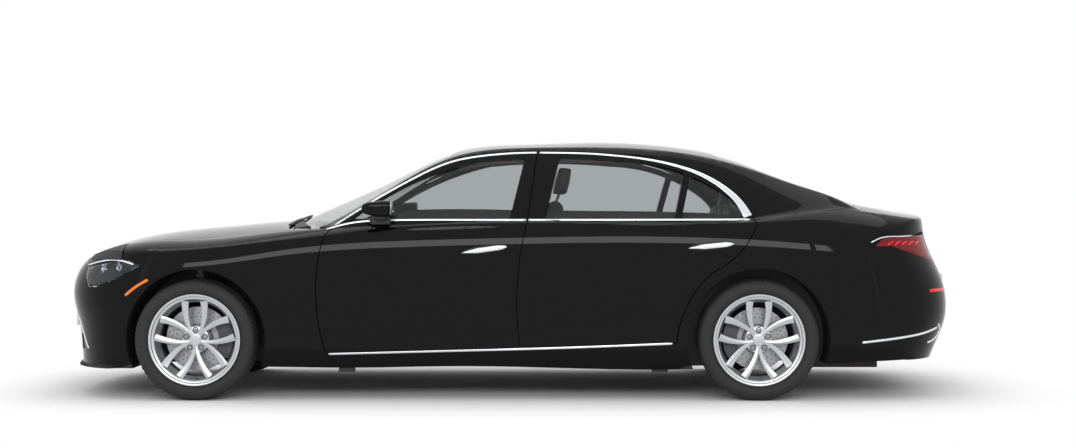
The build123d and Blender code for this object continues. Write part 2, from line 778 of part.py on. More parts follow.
with BuildPart() as hood_room:
    add(hood_gap_zone)
    add(door_core, mode=Mode.SUBTRACT)
with BuildPart() as lid_room:
    add(lid_gap_zone)
    add(door_core, mode=Mode.SUBTRACT)
with BuildPart() as nose_room:
    add(nose_zone)
    add(bumper_core, mode=Mode.SUBTRACT)
with BuildPart() as tail_room:
    add(tail_zone)
    add(bumper_core, mode=Mode.SUBTRACT)
with BuildPart() as door_room:
    add(side_prism(grown(doors_face(), GAP), -HALF - 60, -ROOF_SEAM))
    add(pillar_core, mode=Mode.SUBTRACT)
REAR_RECESS_TOP = 400.0
with BuildPart() as floor_recess:
    add(block(FIREWALL - 60, REAR - ARCH_RADIUS - 40, -HALF + 150, HALF - 150, 0, FLOOR_UNDER))
    add(block(REAR - ARCH_RADIUS - 50, REAR + 900, -REAR_WELL_IN + 60, REAR_WELL_IN - 60, 0, REAR_RECESS_TOP))
    add(block(REAR - 200, REAR + 200, -REAR_WELL_IN - 5, REAR_WELL_IN + 5, 0, REAR_RECESS_TOP))
    add(block(FIREWALL - 60, TUNNEL_END, -TUNNEL_HALF, TUNNEL_HALF, 0, TUNNEL_TOP))
    add(block(TUNNEL_END - 20, REAR - ARCH_RADIUS, -SHAFT_TUNNEL_HALF, SHAFT_TUNNEL_HALF, 0, SHAFT_TUNNEL_TOP))
with BuildPart() as b_pillars:
    add(pillar_core)
    add(side_prism(b_strip_face(), -HALF, -400), mode=Mode.INTERSECT)
    add(upper_form(PILLAR_DEPTH, 300), mode=Mode.SUBTRACT)

# Jacking pads under the sills
JACK_X = (FRONT + 860, REAR - 560)
JACK_Y = 845.0
JACK_LONG = 90.0
JACK_WIDE = 50.0
JACK_LOW = 155.0

# The structure meets at flat seams: front and rear at two upright planes, the floor and roof panel
# between the two sides
SEAM_FRONT = FRONT_SHUT - 60.0
SEAM_REAR = REAR + 10.0
ROOF_LOW = 1380.0
with BuildPart() as floor_zone:
    add(block(SEAM_FRONT, SEAM_REAR, -DOOR_INNER, DOOR_INNER, 0, TUNNEL_TOP + 100))
with BuildPart() as roof_zone:
    add(block(FRONT + 1300, REAR - 100, -ROOF_SEAM, ROOF_SEAM, ROOF_LOW, HEIGHT + 50))

with BuildPart() as front_structure:
    add(skin)
    add(block(-LENGTH, SEAM_FRONT, -HALF - 50, HALF + 50, 0, HEIGHT), mode=Mode.INTERSECT)
    add(bay_space.part, mode=Mode.SUBTRACT)
    add(cabin_space.part, mode=Mode.SUBTRACT)
    add(front_wells, mode=Mode.SUBTRACT)
    add(floor_recess.part, mode=Mode.SUBTRACT)
    add(windshield_zone, mode=Mode.SUBTRACT)
    add(nose_room.part, mode=Mode.SUBTRACT)
    add(hood_room.part, mode=Mode.SUBTRACT)
    add(fender_room, mode=Mode.SUBTRACT)
    add(headlamp_room.part, mode=Mode.SUBTRACT)

with BuildPart() as rear_structure:
    add(skin)
    add(block(SEAM_REAR, LENGTH, -HALF - 50, HALF + 50, 0, HEIGHT), mode=Mode.INTERSECT)
    add(cabin_space.part, mode=Mode.SUBTRACT)
    add(boot_space.part, mode=Mode.SUBTRACT)
    add(rear_wells, mode=Mode.SUBTRACT)
    add(floor_recess.part, mode=Mode.SUBTRACT)
    add(rear_window_zone, mode=Mode.SUBTRACT)
    add(tail_room.part, mode=Mode.SUBTRACT)
    add(lid_room.part, mode=Mode.SUBTRACT)
    add(tail_lamp_room.part, mode=Mode.SUBTRACT)

with BuildPart() as floor:
    add(skin)
    add(floor_zone.part, mode=Mode.INTERSECT)
    add(cabin_space.part, mode=Mode.SUBTRACT)
    add(rear_wells, mode=Mode.SUBTRACT)
    add(floor_recess.part, mode=Mode.SUBTRACT)

with BuildPart() as roof:
    add(skin)
    add(roof_zone.part, mode=Mode.INTERSECT)
    add(cabin_space.part, mode=Mode.SUBTRACT)
    add(windshield_zone, mode=Mode.SUBTRACT)
    add(rear_window_zone, mode=Mode.SUBTRACT)

with BuildPart() as side_left:
    add(skin)
    add(block(SEAM_FRONT, SEAM_REAR, -HALF - 50, 0, 0, HEIGHT + 50), mode=Mode.INTERSECT)
    add(floor_zone.part, mode=Mode.SUBTRACT)
    add(roof_zone.part, mode=Mode.SUBTRACT)
    add(cabin_space.part, mode=Mode.SUBTRACT)
    add(rear_wells, mode=Mode.SUBTRACT)
    add(floor_recess.part, mode=Mode.SUBTRACT)
    add(windshield_zone, mode=Mode.SUBTRACT)
    add(rear_window_zone, mode=Mode.SUBTRACT)
    add(fender_room, mode=Mode.SUBTRACT)
    add(door_room.part, mode=Mode.SUBTRACT)
    add(box_zone(door_box_front, GAP, 600), mode=Mode.SUBTRACT)
    add(box_zone(door_box_rear, GAP, 600), mode=Mode.SUBTRACT)
    add(b_pillars.part)
    for x in JACK_X:
        add(block(x - JACK_LONG / 2, x + JACK_LONG / 2, -JACK_Y - JACK_WIDE / 2, -JACK_Y + JACK_WIDE / 2,
                  JACK_LOW, FLOOR_UNDER))

for name, piece in (("front_structure", front_structure.part), ("rear_structure", rear_structure.part),
                    ("floor", floor.part), ("roof", roof.part), ("side_left", side_left.part),
                    ("side_right", mirror(side_left.part, about=Plane.XZ))):
    piece.label = name
    export_step(piece, "parts/" + name + ".step")

# Doors: a flange round the edge that overlaps the body, a deep middle, and a window frame
with BuildPart() as door_hollow:
    add(door_core)
    add([box_zone(door_box_front, 0, DOOR_INNER), box_zone(door_box_rear, 0, DOOR_INNER)], mode=Mode.SUBTRACT)

FRONT_GLASS_REAR = B_SHUT - 41
REAR_GLASS_FRONT = B_SHUT + 163
POST_LEAN = 0.24


def door_window(door, front_x, rear_x):
    return side_prism(window_face(door, front_x, rear_x, POST_LEAN), -HALF - 60, -300)


front_window = door_window(front_door_face(), FRONT, FRONT_GLASS_REAR)
rear_window_main = door_window(rear_door_face(), REAR_GLASS_FRONT, DIVISION_BAR)
rear_window_quarter = door_window(rear_door_face(), DIVISION_BAR + BAR_WIDTH, REAR + 200)

# Where the front door meets the windshield's foot, it stops short, to swing past the pillar
DOOR_CORNER = 800.0
door_corner = block(FRONT, FRONT + 830, -DOOR_CORNER, 0, BELT - 125, HEIGHT)

with BuildPart() as door_front_left:
    add(skin)
    add(front_door_zone, mode=Mode.INTERSECT)
    add(door_hollow.part, mode=Mode.SUBTRACT)
    add([front_window, windshield_gap, door_corner], mode=Mode.SUBTRACT)
with BuildPart() as door_rear_left:
    add(skin)
    add(rear_door_zone, mode=Mode.INTERSECT)
    add(door_hollow.part, mode=Mode.SUBTRACT)
    add([rear_window_main, rear_window_quarter], mode=Mode.SUBTRACT)
with BuildPart() as glass_front_left:
    add(glass_outer)
    add(front_window, mode=Mode.INTERSECT)
    add(glass_inner, mode=Mode.SUBTRACT)
with BuildPart() as glass_rear_left:
    add(glass_outer)
    add(rear_window_main + rear_window_quarter, mode=Mode.INTERSECT)
    add(glass_inner, mode=Mode.SUBTRACT)

for name, piece in (("door_front", door_front_left), ("door_rear", door_rear_left),
                    ("glass_front", glass_front_left), ("glass_rear", glass_rear_left)):
    for side, solid in (("left", piece.part), ("right", mirror(piece.part, about=Plane.XZ))):
        solid.label = name + "_" + side
        export_step(solid, "parts/" + name + "_" + side + ".step")


# Wheels: a barrel, a hub and ten spokes in five narrow V shapes, with the brake disc behind them
HUB_RADIUS = 80.0
CAP_RADIUS = 35.0
BARREL_WALL = 8.0
BARREL_WELL = 20.0
SPOKE_SPREAD = 22.0
SPOKE_RIM_WIDTH = 44.0
SPOKE_HUB_WIDTH = 26.0
MOUNT_FACE = 36.0
DISC_MIDDLE = -22.0
HUB_FACE = 70.0
STUB_END = -124.0
BRAKE_GAP = 5.0
CALIPER_SPAN = 34.0


def radial_plane(centre, side):
    """A section plane through a wheel's axis, with its second direction pointing outboard."""
    return Plane(origin=centre, x_dir=(1, 0, 0), z_dir=(0, 0, side))


def facing_plane(centre, side, out):
    return Plane(origin=(centre[0], centre[1] + side * out, centre[2]), x_dir=(1, 0, 0), z_dir=(0, side, 0))


def turned(centre, side, points):
    """A closed outline of radius and distance outboard, revolved about a wheel's axis."""
    with BuildPart() as ring:
        with BuildSketch(radial_plane(centre, side)):
            with BuildLine():
                Polyline(*points, close=True)
            make_face()
        revolve(axis=Axis(centre, (0, 1, 0)))
    return ring.part


def spoke_face(angle):
    """One spoke's outline in the wheel's plane, from the hub to the rim."""
    step = math.radians(angle)
    tip = math.radians(SPOKE_SPREAD if angle > 0 else -SPOKE_SPREAD)
    start = (40 * math.cos(tip * 0.3), 40 * math.sin(tip * 0.3))
    reach = SEAT_RADIUS - BARREL_WELL
    end = (reach * math.cos(tip), reach * math.sin(tip))
    run = math.dist(start, end)
    ux, uy = (end[0] - start[0]) / run, (end[1] - start[1]) / run
    a, b = SPOKE_HUB_WIDTH / 2, SPOKE_RIM_WIDTH / 2
    return [(start[0] - uy * a, start[1] + ux * a), (start[0] + uy * a, start[1] - ux * a),
            (end[0] + uy * b, end[1] - ux * b), (end[0] - uy * b, end[1] + ux * b)]


def wheel(centre, side, disc_radius):
    half = RIM_WIDTH / 2
    seat, well = SEAT_RADIUS, SEAT_RADIUS - BARREL_WELL
    bore = well - BARREL_WALL
    with BuildPart() as piece:
        add(turned(centre, side, [
            (RIM_RADIUS, half), (RIM_RADIUS, half - 9), (seat, half - 14), (seat - 2, half - 44),
            (well, half - 70), (well, 60 - half), (seat - 2, 40 - half), (seat, 14 - half),
            (RIM_RADIUS, 9 - half), (RIM_RADIUS, -half), (RIM_RADIUS - 8, -half), (seat - 10, 18 - half),
            (bore, 64 - half), (bore, half - 68), (seat - 12, half - 42), (seat - 9, half - 12),
            (RIM_RADIUS - 8, half)]))
        with BuildPart(mode=Mode.PRIVATE) as spokes:
            with BuildSketch(facing_plane(centre, side, 20)):
                for turn in range(SPOKE_PAIRS):
                    for lean in (-1, 1):
                        angle = 54 + turn * 360 / SPOKE_PAIRS
                        with Locations(Rotation(0, 0, angle)):
                            with BuildLine():
                                Polyline(*spoke_face(lean), close=True)
                            make_face()
            extrude(amount=100)
            add(turned(centre, side, [
                (0, MOUNT_FACE), (HUB_RADIUS, MOUNT_FACE), (bore - 20, half - 60), (well, half - 64),
                (well, half - 16), (bore - 30, half - 24), (HUB_RADIUS, HUB_FACE), (0, HUB_FACE)]),
                mode=Mode.INTERSECT)
        add(spokes.part)
        add(turned(centre, side, [(0, MOUNT_FACE), (HUB_RADIUS, MOUNT_FACE), (HUB_RADIUS, HUB_FACE - 6),
                                  (HUB_RADIUS - 10, HUB_FACE + 2), (CAP_RADIUS, HUB_FACE + 2),
                                  (CAP_RADIUS - 3, HUB_FACE + 6), (0, HUB_FACE + 8)]))
        with BuildSketch(facing_plane(centre, side, HUB_FACE + 10)):
            with PolarLocations(LUG_CIRCLE, SPOKE_PAIRS, start_angle=90):
                Circle(LUG_RADIUS)
        extrude(amount=-26, mode=Mode.SUBTRACT)
        back, front = DISC_MIDDLE - DISC_THICKNESS / 2, DISC_MIDDLE + DISC_THICKNESS / 2
        add(turned(centre, side, [
            (0, MOUNT_FACE), (HUB_RADIUS, MOUNT_FACE), (HUB_RADIUS, front), (disc_radius, front),
            (disc_radius, back), (HUB_RADIUS - 10, back), (HUB_RADIUS - 10, MOUNT_FACE - 10),
            (SPINDLE_RADIUS, MOUNT_FACE - 10), (SPINDLE_RADIUS, STUB_END), (0, STUB_END)]))
    return piece.part


def tyre(centre, side):
    """A hollow tyre. Columns of each half's outline: radius; distance from the tyre's middle."""
    bead, seat = RIM_WIDTH / 2 - 16, SEAT_RADIUS + PIN_CLEARANCE
    wide, tread = TYRE_WIDTH / 2, TREAD_WIDTH / 2
    outside = [
        (TYRE_RADIUS, tread - 50), (TYRE_RADIUS - 4, tread - 14), (TYRE_RADIUS - 16, tread + 2),
        (RIM_RADIUS + 46, wide - 2), (RIM_RADIUS + 26, wide), (RIM_RADIUS + 1.5, bead + 5), (seat, bead)]
    inside = [(seat, bead - 18), (RIM_RADIUS + 9, bead - 8), (RIM_RADIUS + 32, wide - 15),
              (TYRE_RADIUS - 24, tread - 12)]
    half = outside + inside
    return turned(centre, side, half + [(radius, -out) for radius, out in reversed(half)])


def caliper(centre, side, disc_radius, toward):
    """A caliper round the disc's edge, ahead of the axle or behind it."""
    inner, outer = disc_radius - 62, disc_radius + BRAKE_GAP + 14
    back = DISC_MIDDLE - DISC_THICKNESS / 2 - BRAKE_GAP
    front = DISC_MIDDLE + DISC_THICKNESS / 2 + BRAKE_GAP
    with BuildPart() as piece:
        add(turned(centre, side, [
            (inner, back), (disc_radius + BRAKE_GAP, back), (disc_radius + BRAKE_GAP, front),
            (inner, front), (inner, front + 20), (outer, front + 20), (outer, back - 24), (inner, back - 24)]))
        with BuildSketch(facing_plane(centre, side, back - 30)):
            with BuildLine():
                reach = outer + 40
                high = reach * math.tan(math.radians(CALIPER_SPAN))
                Polyline((0, 0), (toward * reach, -high), (toward * reach, high), close=True)
            make_face()
        extrude(amount=140, mode=Mode.INTERSECT)
    return piece.part


def carrier(centre, side, disc_radius, toward):
    """The hub carrier inboard of the disc, bored for the wheel's stub shaft, with its caliper."""
    inner_face = DISC_MIDDLE - DISC_THICKNESS / 2 - BRAKE_GAP
    with BuildPart() as piece:
        with BuildSketch(facing_plane(centre, side, STUB_END)):
            Circle(62)
        extrude(amount=inner_face - STUB_END)
        x, y, z = centre
        near = y + side * (inner_face - 24)
        far = y + side * inner_face
        add(block(min(x, x + toward * 140), max(x, x + toward * 140), min(near, far), max(near, far),
                  z - 34, z + 34))
        add(caliper(centre, side, disc_radius, toward))
        with BuildSketch(facing_plane(centre, side, STUB_END)):
            Circle(SPINDLE_RADIUS + PIN_CLEARANCE)
        extrude(amount=inner_face - STUB_END + 10, mode=Mode.SUBTRACT)
    return piece.part


# The front knuckles turn about upright pins at KINGPIN_Y, over and inside the wheel
NECK_Y = 664.0
NECK_HALF = 17.0
NECK_LOW = TYRE_RADIUS * 2 + 8
ARM = 18.0
JOINT_GAP = 5.0
BALL_RADIUS = 10.0
EYE_RADIUS = 24.0
LOWER_BOSS = 190.0
UPPER_LINK = NECK_LOW + ARM + JOINT_GAP
LOWER_LINK = LOWER_BOSS - JOINT_GAP - ARM


def upright(x, y, radius, z0, z1):
    with BuildPart() as solid:
        with BuildSketch(Plane.XY.offset(z0)):
            with Locations((x, y)):
                Circle(radius)
        extrude(amount=z1 - z0)
    return solid.part


def knuckle(side):
    centre = (FRONT, side * FRONT_TRACK / 2, TYRE_RADIUS)
    y0, y1 = sorted((side * (NECK_Y - NECK_HALF), side * (NECK_Y + NECK_HALF)))
    top0, top1 = sorted((side * (NECK_Y - NECK_HALF), side * (KINGPIN_Y + 12)))
    low0, low1 = sorted((side * 704.0, side * (KINGPIN_Y + 12)))
    pin_y = side * KINGPIN_Y
    with BuildPart() as piece:
        add(carrier(centre, side, FRONT_DISC_RADIUS, 1))
        plate0, plate1 = sorted((side * (NECK_Y - NECK_HALF), side * 722.0))
        add(block(FRONT - 40, FRONT + 40, plate0, plate1, TYRE_RADIUS - 40, TYRE_RADIUS + 60))
        add(block(FRONT - 22, FRONT + 22, y0, y1, TYRE_RADIUS, NECK_LOW + ARM))
        add(block(FRONT - 22, FRONT + 22, top0, top1, NECK_LOW, NECK_LOW + ARM))
        add(block(FRONT - 26, FRONT + 26, low0, low1, LOWER_BOSS, TYRE_RADIUS - 30))
        add(upright(FRONT, pin_y, BALL_RADIUS, NECK_LOW, UPPER_LINK + ARM - 2))
        add(upright(FRONT, pin_y, BALL_RADIUS, LOWER_LINK + 2, LOWER_BOSS + 20))
        hub_y = centre[1]
        add(rod((FRONT, hub_y + side * (STUB_END - 2), TYRE_RADIUS),
                (FRONT, hub_y + side * (DISC_MIDDLE + 20), TYRE_RADIUS), SPINDLE_RADIUS + PIN_CLEARANCE),
            mode=Mode.SUBTRACT)
    return piece.part


def link(x, y_body, y_eye, z, eye_hole):
    """A flat arm from the car's structure out to an eye round a pin."""
    with BuildPart() as piece:
        y0, y1 = sorted((y_body, y_eye))
        add(block(x - 20, x + 20, y0, y1, z, z + ARM))
        add(upright(x, y_eye, EYE_RADIUS, z, z + ARM))
        add(upright(x, y_eye, eye_hole, z - 1, z + ARM + 1), mode=Mode.SUBTRACT)
    return piece.part


SUBFRAME_HALF = BAY_HALF
SUBFRAME_TOP = 222.0
with BuildPart() as front_subframe:
    add(block(FRONT - 150, FRONT + 150, -SUBFRAME_HALF, SUBFRAME_HALF, LOWER_LINK - 2, SUBFRAME_TOP))
    for side in (-1, 1):
        add(link(FRONT, side * (SUBFRAME_HALF - 30), side * KINGPIN_Y, LOWER_LINK, BALL_RADIUS + PIN_CLEARANCE))
        add(link(FRONT, side * STEER_ROOM, side * KINGPIN_Y, UPPER_LINK, BALL_RADIUS + PIN_CLEARANCE))
front_subframe.part.label = "front_subframe"
export_step(front_subframe.part, "parts/front_subframe.step")

REAR_FRAME_TOP = 400.0
SHAFT_RADIUS = 15.0
DIFF_HALF = 150.0
with BuildPart() as rear_subframe:
    add(block(REAR - 190, REAR - 70, -560, 560, 210, 290))
    add(block(REAR + 70, REAR + 190, -560, 560, 210, 290))
    for side in (-1, 1):
        y0, y1 = sorted((side * 480.0, side * 560.0))
        add(block(REAR - 190, REAR + 190, y0, y1, 230, 290))
        add(block(REAR - 190, REAR - 110, y0, y1, 230, REAR_FRAME_TOP))
        add(block(REAR + 110, REAR + 190, y0, y1, 230, REAR_FRAME_TOP))
        arm0, arm1 = sorted((side * 540.0, side * 716.0))
        add(block(REAR - 150, REAR - 110, arm0, arm1, 250, 280))
        add(block(REAR + 110, REAR + 150, arm0, arm1, 250, 280))
        add(block(REAR - 150, REAR + 150, min(side * 700.0, side * 740.0), max(side * 700.0, side * 740.0),
                  250, 300))
        add(carrier((REAR, side * REAR_TRACK / 2, TYRE_RADIUS), side, REAR_DISC_RADIUS, -1))
    add(block(REAR - 190, REAR + 190, -DIFF_HALF, DIFF_HALF, 240, REAR_FRAME_TOP))
rear_subframe.part.label = "rear_subframe"
export_step(rear_subframe.part, "parts/rear_subframe.step")

corners = (("front_left", FRONT, -FRONT_TRACK / 2, -1), ("front_right", FRONT, FRONT_TRACK / 2, 1),
           ("rear_left", REAR, -REAR_TRACK / 2, -1), ("rear_right", REAR, REAR_TRACK / 2, 1))
for corner, x, y, side in corners:
    centre = (x, y, TYRE_RADIUS)
    disc_radius = FRONT_DISC_RADIUS if x == FRONT else REAR_DISC_RADIUS
    pieces = [("wheel_" + corner, wheel(centre, side, disc_radius)), ("tyre_" + corner, tyre(centre, side))]
    if x == FRONT:
        pieces.append((corner.replace("front", "knuckle"), knuckle(side)))
    else:
        inner = side * (DIFF_HALF + 1)
        pieces.append((corner.replace("rear", "half_shaft"),
                       rod((x, inner, TYRE_RADIUS), (x, y + side * STUB_END, TYRE_RADIUS), SHAFT_RADIUS)))
    for name, solid in pieces:
        solid.label = name
        export_step(solid, "parts/" + name + ".step")


# The cabin: dashboard, console, seats and steering wheel
DASH_HALF = 735.0
SEAT_Y = 372.0
SEAT_WIDTH = 496.0
CONSOLE_HALF = 110.0
SEAT_ROUND = 30.0
COLUMN_ANGLE = 24.0
STEER_WHEEL_RADIUS = 188.0
STEER_WHEEL = (FIREWALL + 640, -SEAT_Y, 905.0)


def profile_piece(points, y_from, y_to, rounding):
    """A side profile pulled across, with its long edges rounded."""
    with BuildPart() as piece:
        with BuildSketch(Plane.XZ.offset(-y_to)):
            with BuildLine():
                Polyline(*points, close=True)
            make_face()
            fillet(vertices(), rounding)
        extrude(amount=y_to - y_from)
    return piece.part


with BuildPart() as dashboard:
    with BuildSketch(Plane.XZ.offset(-DASH_HALF)):
        with BuildLine():
            Polyline((FIREWALL, 620), (FIREWALL + 240, 560), (FIREWALL + 330, 700), (FIREWALL + 420, 800),
                     (FIREWALL + 440, 900), (FIREWALL + 380, 955), (FIREWALL + 200, 955), (FIREWALL, 915),
                     close=True)
        make_face()
    extrude(amount=2 * DASH_HALF)
    fillet(dashboard.edges().filter_by(Axis.Y).filter_by_position(Axis.X, FIREWALL + 10, REAR), 20)
    add(upper_form(ROOF_WALL + GAP, FLOOR_TOP), mode=Mode.INTERSECT)
    column_tip = (STEER_WHEEL[0] - 60, STEER_WHEEL[1], STEER_WHEEL[2] - 27)
    add(rod((FIREWALL + 300, -SEAT_Y, 800), column_tip, 30))
dashboard.part.label = "dashboard"
export_step(dashboard.part, "parts/dashboard.step")

wheel_axis = Plane(origin=STEER_WHEEL, x_dir=(0, 1, 0),
                   z_dir=(math.cos(math.radians(COLUMN_ANGLE)), 0, math.sin(math.radians(COLUMN_ANGLE))))
with BuildPart() as steering_wheel:
    with BuildSketch(Plane(origin=wheel_axis.origin, x_dir=wheel_axis.x_dir, z_dir=wheel_axis.y_dir)):
        with Locations((STEER_WHEEL_RADIUS, 0)):
            Circle(15)
    revolve(axis=Axis(wheel_axis.origin, wheel_axis.z_dir))
    with BuildSketch(wheel_axis.offset(-34)):
        Circle(72)
    extrude(amount=40)
    with BuildSketch(wheel_axis.offset(-12)):
        Rectangle(2 * STEER_WHEEL_RADIUS, 46)
        with Locations((0, -STEER_WHEEL_RADIUS / 2)):
            Rectangle(52, STEER_WHEEL_RADIUS)
    extrude(amount=14)
steering_wheel.part.label = "steering_wheel"
export_step(steering_wheel.part, "parts/steering_wheel.step")

with BuildPart() as centre_console:
    low = TUNNEL_TOP + TUNNEL_WALL
    add(profile_piece([(FIREWALL + 380, low), (FIREWALL + 1125, low), (FIREWALL + 1160, 640),
                       (FIREWALL + 900, 650), (FIREWALL + 600, 600), (FIREWALL + 470, 720),
                       (FIREWALL + 380, 640)],
                      -CONSOLE_HALF, CONSOLE_HALF, 12))
centre_console.part.label = "centre_console"
export_step(centre_console.part, "parts/centre_console.step")

FRONT_SEAT_X = FIREWALL + 920.0


def front_seat(y):
    a, b = y - SEAT_WIDTH / 2, y + SEAT_WIDTH / 2
    x = FRONT_SEAT_X
    with BuildPart() as seat:
        add(profile_piece([(x, 450), (x + 540, 420), (x + 600, 560), (x + 40, 610), (x - 20, 560)],
                          a, b, SEAT_ROUND))
        add(profile_piece([(x + 470, 470), (x + 600, 440), (x + 770, 1120), (x + 700, 1160), (x + 620, 1120)],
                          a + 14, b - 14, SEAT_ROUND))
        add(profile_piece([(x + 680, 1185), (x + 770, 1180), (x + 800, 1340), (x + 720, 1345)],
                          y - 130, y + 130, 25))
        for post in (-50, 50):
            add(rod((x + 690, y + post, 1100), (x + 735, y + post, 1200), 8))
        for rail in (a + 60, b - 90):
            add(block(x + 40, x + 520, rail, rail + 30, FLOOR_TOP, 470))
    return seat.part


with BuildPart() as front_seats:
    add(front_seat(-SEAT_Y))
    add(front_seat(SEAT_Y))
front_seats.part.label = "front_seats"
export_step(front_seats.part, "parts/front_seats.step")

BENCH_HALF = 655.0
with BuildPart() as rear_seat:
    x = BENCH_X - 20
    add(profile_piece([(x + 20, BENCH_LOW), (x + 440, BENCH_LOW), (x + 500, 500), (x + 560, 600), (x + 20, 625),
                       (x - 20, 560)],
                      -BENCH_HALF, BENCH_HALF, SEAT_ROUND))
    add(profile_piece([(x + 470, 520), (x + 600, 560), (x + 655, 970), (x + 640, 1130), (x + 560, 1120)],
                      -BENCH_HALF, BENCH_HALF, 25))
    for y in (-SEAT_Y, SEAT_Y):
        add(profile_piece([(x + 590, 1100), (x + 660, 1100), (x + 690, 1270), (x + 620, 1275)],
                          y - 125, y + 125, 20))
rear_seat.part.label = "rear_seat"
export_step(rear_seat.part, "parts/rear_seat.step")

# Engine, gearbox and shaft, exhaust and radiator
SHAFT_Z = 316.0
PIPE_Y = 104.0
PIPE_Z = 178.0
PIPE_RADIUS = 25.0
ENGINE_LOW = SUBFRAME_TOP
ENGINE_TOP = 850.0
with BuildPart() as engine_block:
    add(block(FRONT - 270, FIREWALL - 60, -290, 290, ENGINE_LOW, ENGINE_TOP))
    fillet(engine_block.edges().filter_by(Axis.Z), 30)
engine_block.part.label = "engine_block"
export_step(engine_block.part, "parts/engine_block.step")

with BuildPart() as driveline:
    add(rod((FIREWALL - 60, 0, SHAFT_Z), (FIREWALL + 620, 0, SHAFT_Z), 92))
    add(rod((FIREWALL + 600, 0, SHAFT_Z), (REAR - 190, 0, SHAFT_Z), 34))
driveline.part.label = "driveline"
export_step(driveline.part, "parts/driveline.step")

with BuildPart() as exhaust:
    for side in (-1, 1):
        y = side * PIPE_Y
        add(rod((FIREWALL + 500, y, PIPE_Z), (REAR + 430, y, PIPE_Z), PIPE_RADIUS))
        for x in (TUNNEL_END + 160, BENCH_X - 60):
            add(block(x - 15, x + 15, y - 12, y + 12, PIPE_Z, FLOOR_UNDER))
        add(block(REAR + 330, REAR + 380, *sorted((y, side * 430)), PIPE_Z - 20, PIPE_Z + 20))
        inner, outer = sorted((side * 330, side * 590))
        add(block(REAR + 300, REAR + 740, inner, outer, PIPE_Z - 20, 360))
        add(block(REAR + 500, REAR + 530, inner + 80, inner + 110, 300, REAR_RECESS_TOP))
exhaust.part.label = "exhaust"
export_step(exhaust.part, "parts/exhaust.step")

with BuildPart() as radiator:
    add(block(FRONT - 560, FRONT - 520, -430, 430, 250, 700))
radiator.part.label = "radiator"
export_step(radiator.part, "parts/radiator.step")

# Door mirrors
MIRROR_X = FRONT + 1050.0
MIRROR_OUT = 1054.0
with BuildPart() as mirror_left:
    with Locations((MIRROR_X, -(MIRROR_OUT - 66), 1094)):
        Box(186, 132, 104)
    fillet(mirror_left.edges().filter_by(Axis.X), 40)
    fillet(mirror_left.edges(), 12)
    add(block(MIRROR_X - 30, MIRROR_X + 40, -MIRROR_OUT + 110, -820, 1020, 1062))
    add(block(MIRROR_X - 60, MIRROR_X + 70, -930, -840, 1000, 1042))
    add(skin, mode=Mode.SUBTRACT)
for side, solid in (("left", mirror_left.part), ("right", mirror(mirror_left.part, about=Plane.XZ))):
    solid.label = "mirror_" + side
    export_step(solid, "parts/mirror_" + side + ".step")
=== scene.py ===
"""The looks of a four-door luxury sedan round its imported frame. Lengths are in metres.

X runs from the nose to the tail, -Y is the car's left side, and Z is up."""
import json
import math

import bmesh
import bpy
import numpy as np
from mathutils import Matrix, Vector

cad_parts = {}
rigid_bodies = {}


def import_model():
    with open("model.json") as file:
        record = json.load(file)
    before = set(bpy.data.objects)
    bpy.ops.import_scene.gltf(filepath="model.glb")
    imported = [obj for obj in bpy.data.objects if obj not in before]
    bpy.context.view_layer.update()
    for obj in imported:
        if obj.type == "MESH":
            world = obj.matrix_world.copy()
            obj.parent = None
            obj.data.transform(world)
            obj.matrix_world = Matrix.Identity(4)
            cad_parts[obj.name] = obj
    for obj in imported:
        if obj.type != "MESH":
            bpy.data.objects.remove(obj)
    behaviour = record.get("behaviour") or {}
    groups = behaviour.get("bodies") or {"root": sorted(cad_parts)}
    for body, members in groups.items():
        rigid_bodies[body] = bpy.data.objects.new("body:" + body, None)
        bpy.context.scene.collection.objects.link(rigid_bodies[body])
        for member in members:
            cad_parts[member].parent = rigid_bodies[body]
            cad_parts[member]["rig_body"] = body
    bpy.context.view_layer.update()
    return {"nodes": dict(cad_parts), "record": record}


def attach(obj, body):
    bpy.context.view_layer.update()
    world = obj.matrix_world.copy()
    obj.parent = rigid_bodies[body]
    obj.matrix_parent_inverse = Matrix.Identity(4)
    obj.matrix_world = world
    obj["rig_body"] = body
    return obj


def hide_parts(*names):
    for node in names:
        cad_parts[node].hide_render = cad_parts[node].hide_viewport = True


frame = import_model()

# The car's sizes, as in its frame
MM = 0.001
LENGTH = 5.289
HALF = 0.977
HEIGHT = 1.503
BELT = 1.025
WHEEL_RADIUS = 0.345
FRONT = -LENGTH / 2 + 0.869
REAR = FRONT + 3.216
GLASSHOUSE = HEIGHT - BELT
FIREWALL = FRONT + 0.440
GLASS_DEPTH = 0.007
GLASS_THICK = 0.005
B_SHUT = FRONT + 1.836
SIDES = {"left": -1, "right": 1}
CORE_Z = 0.55

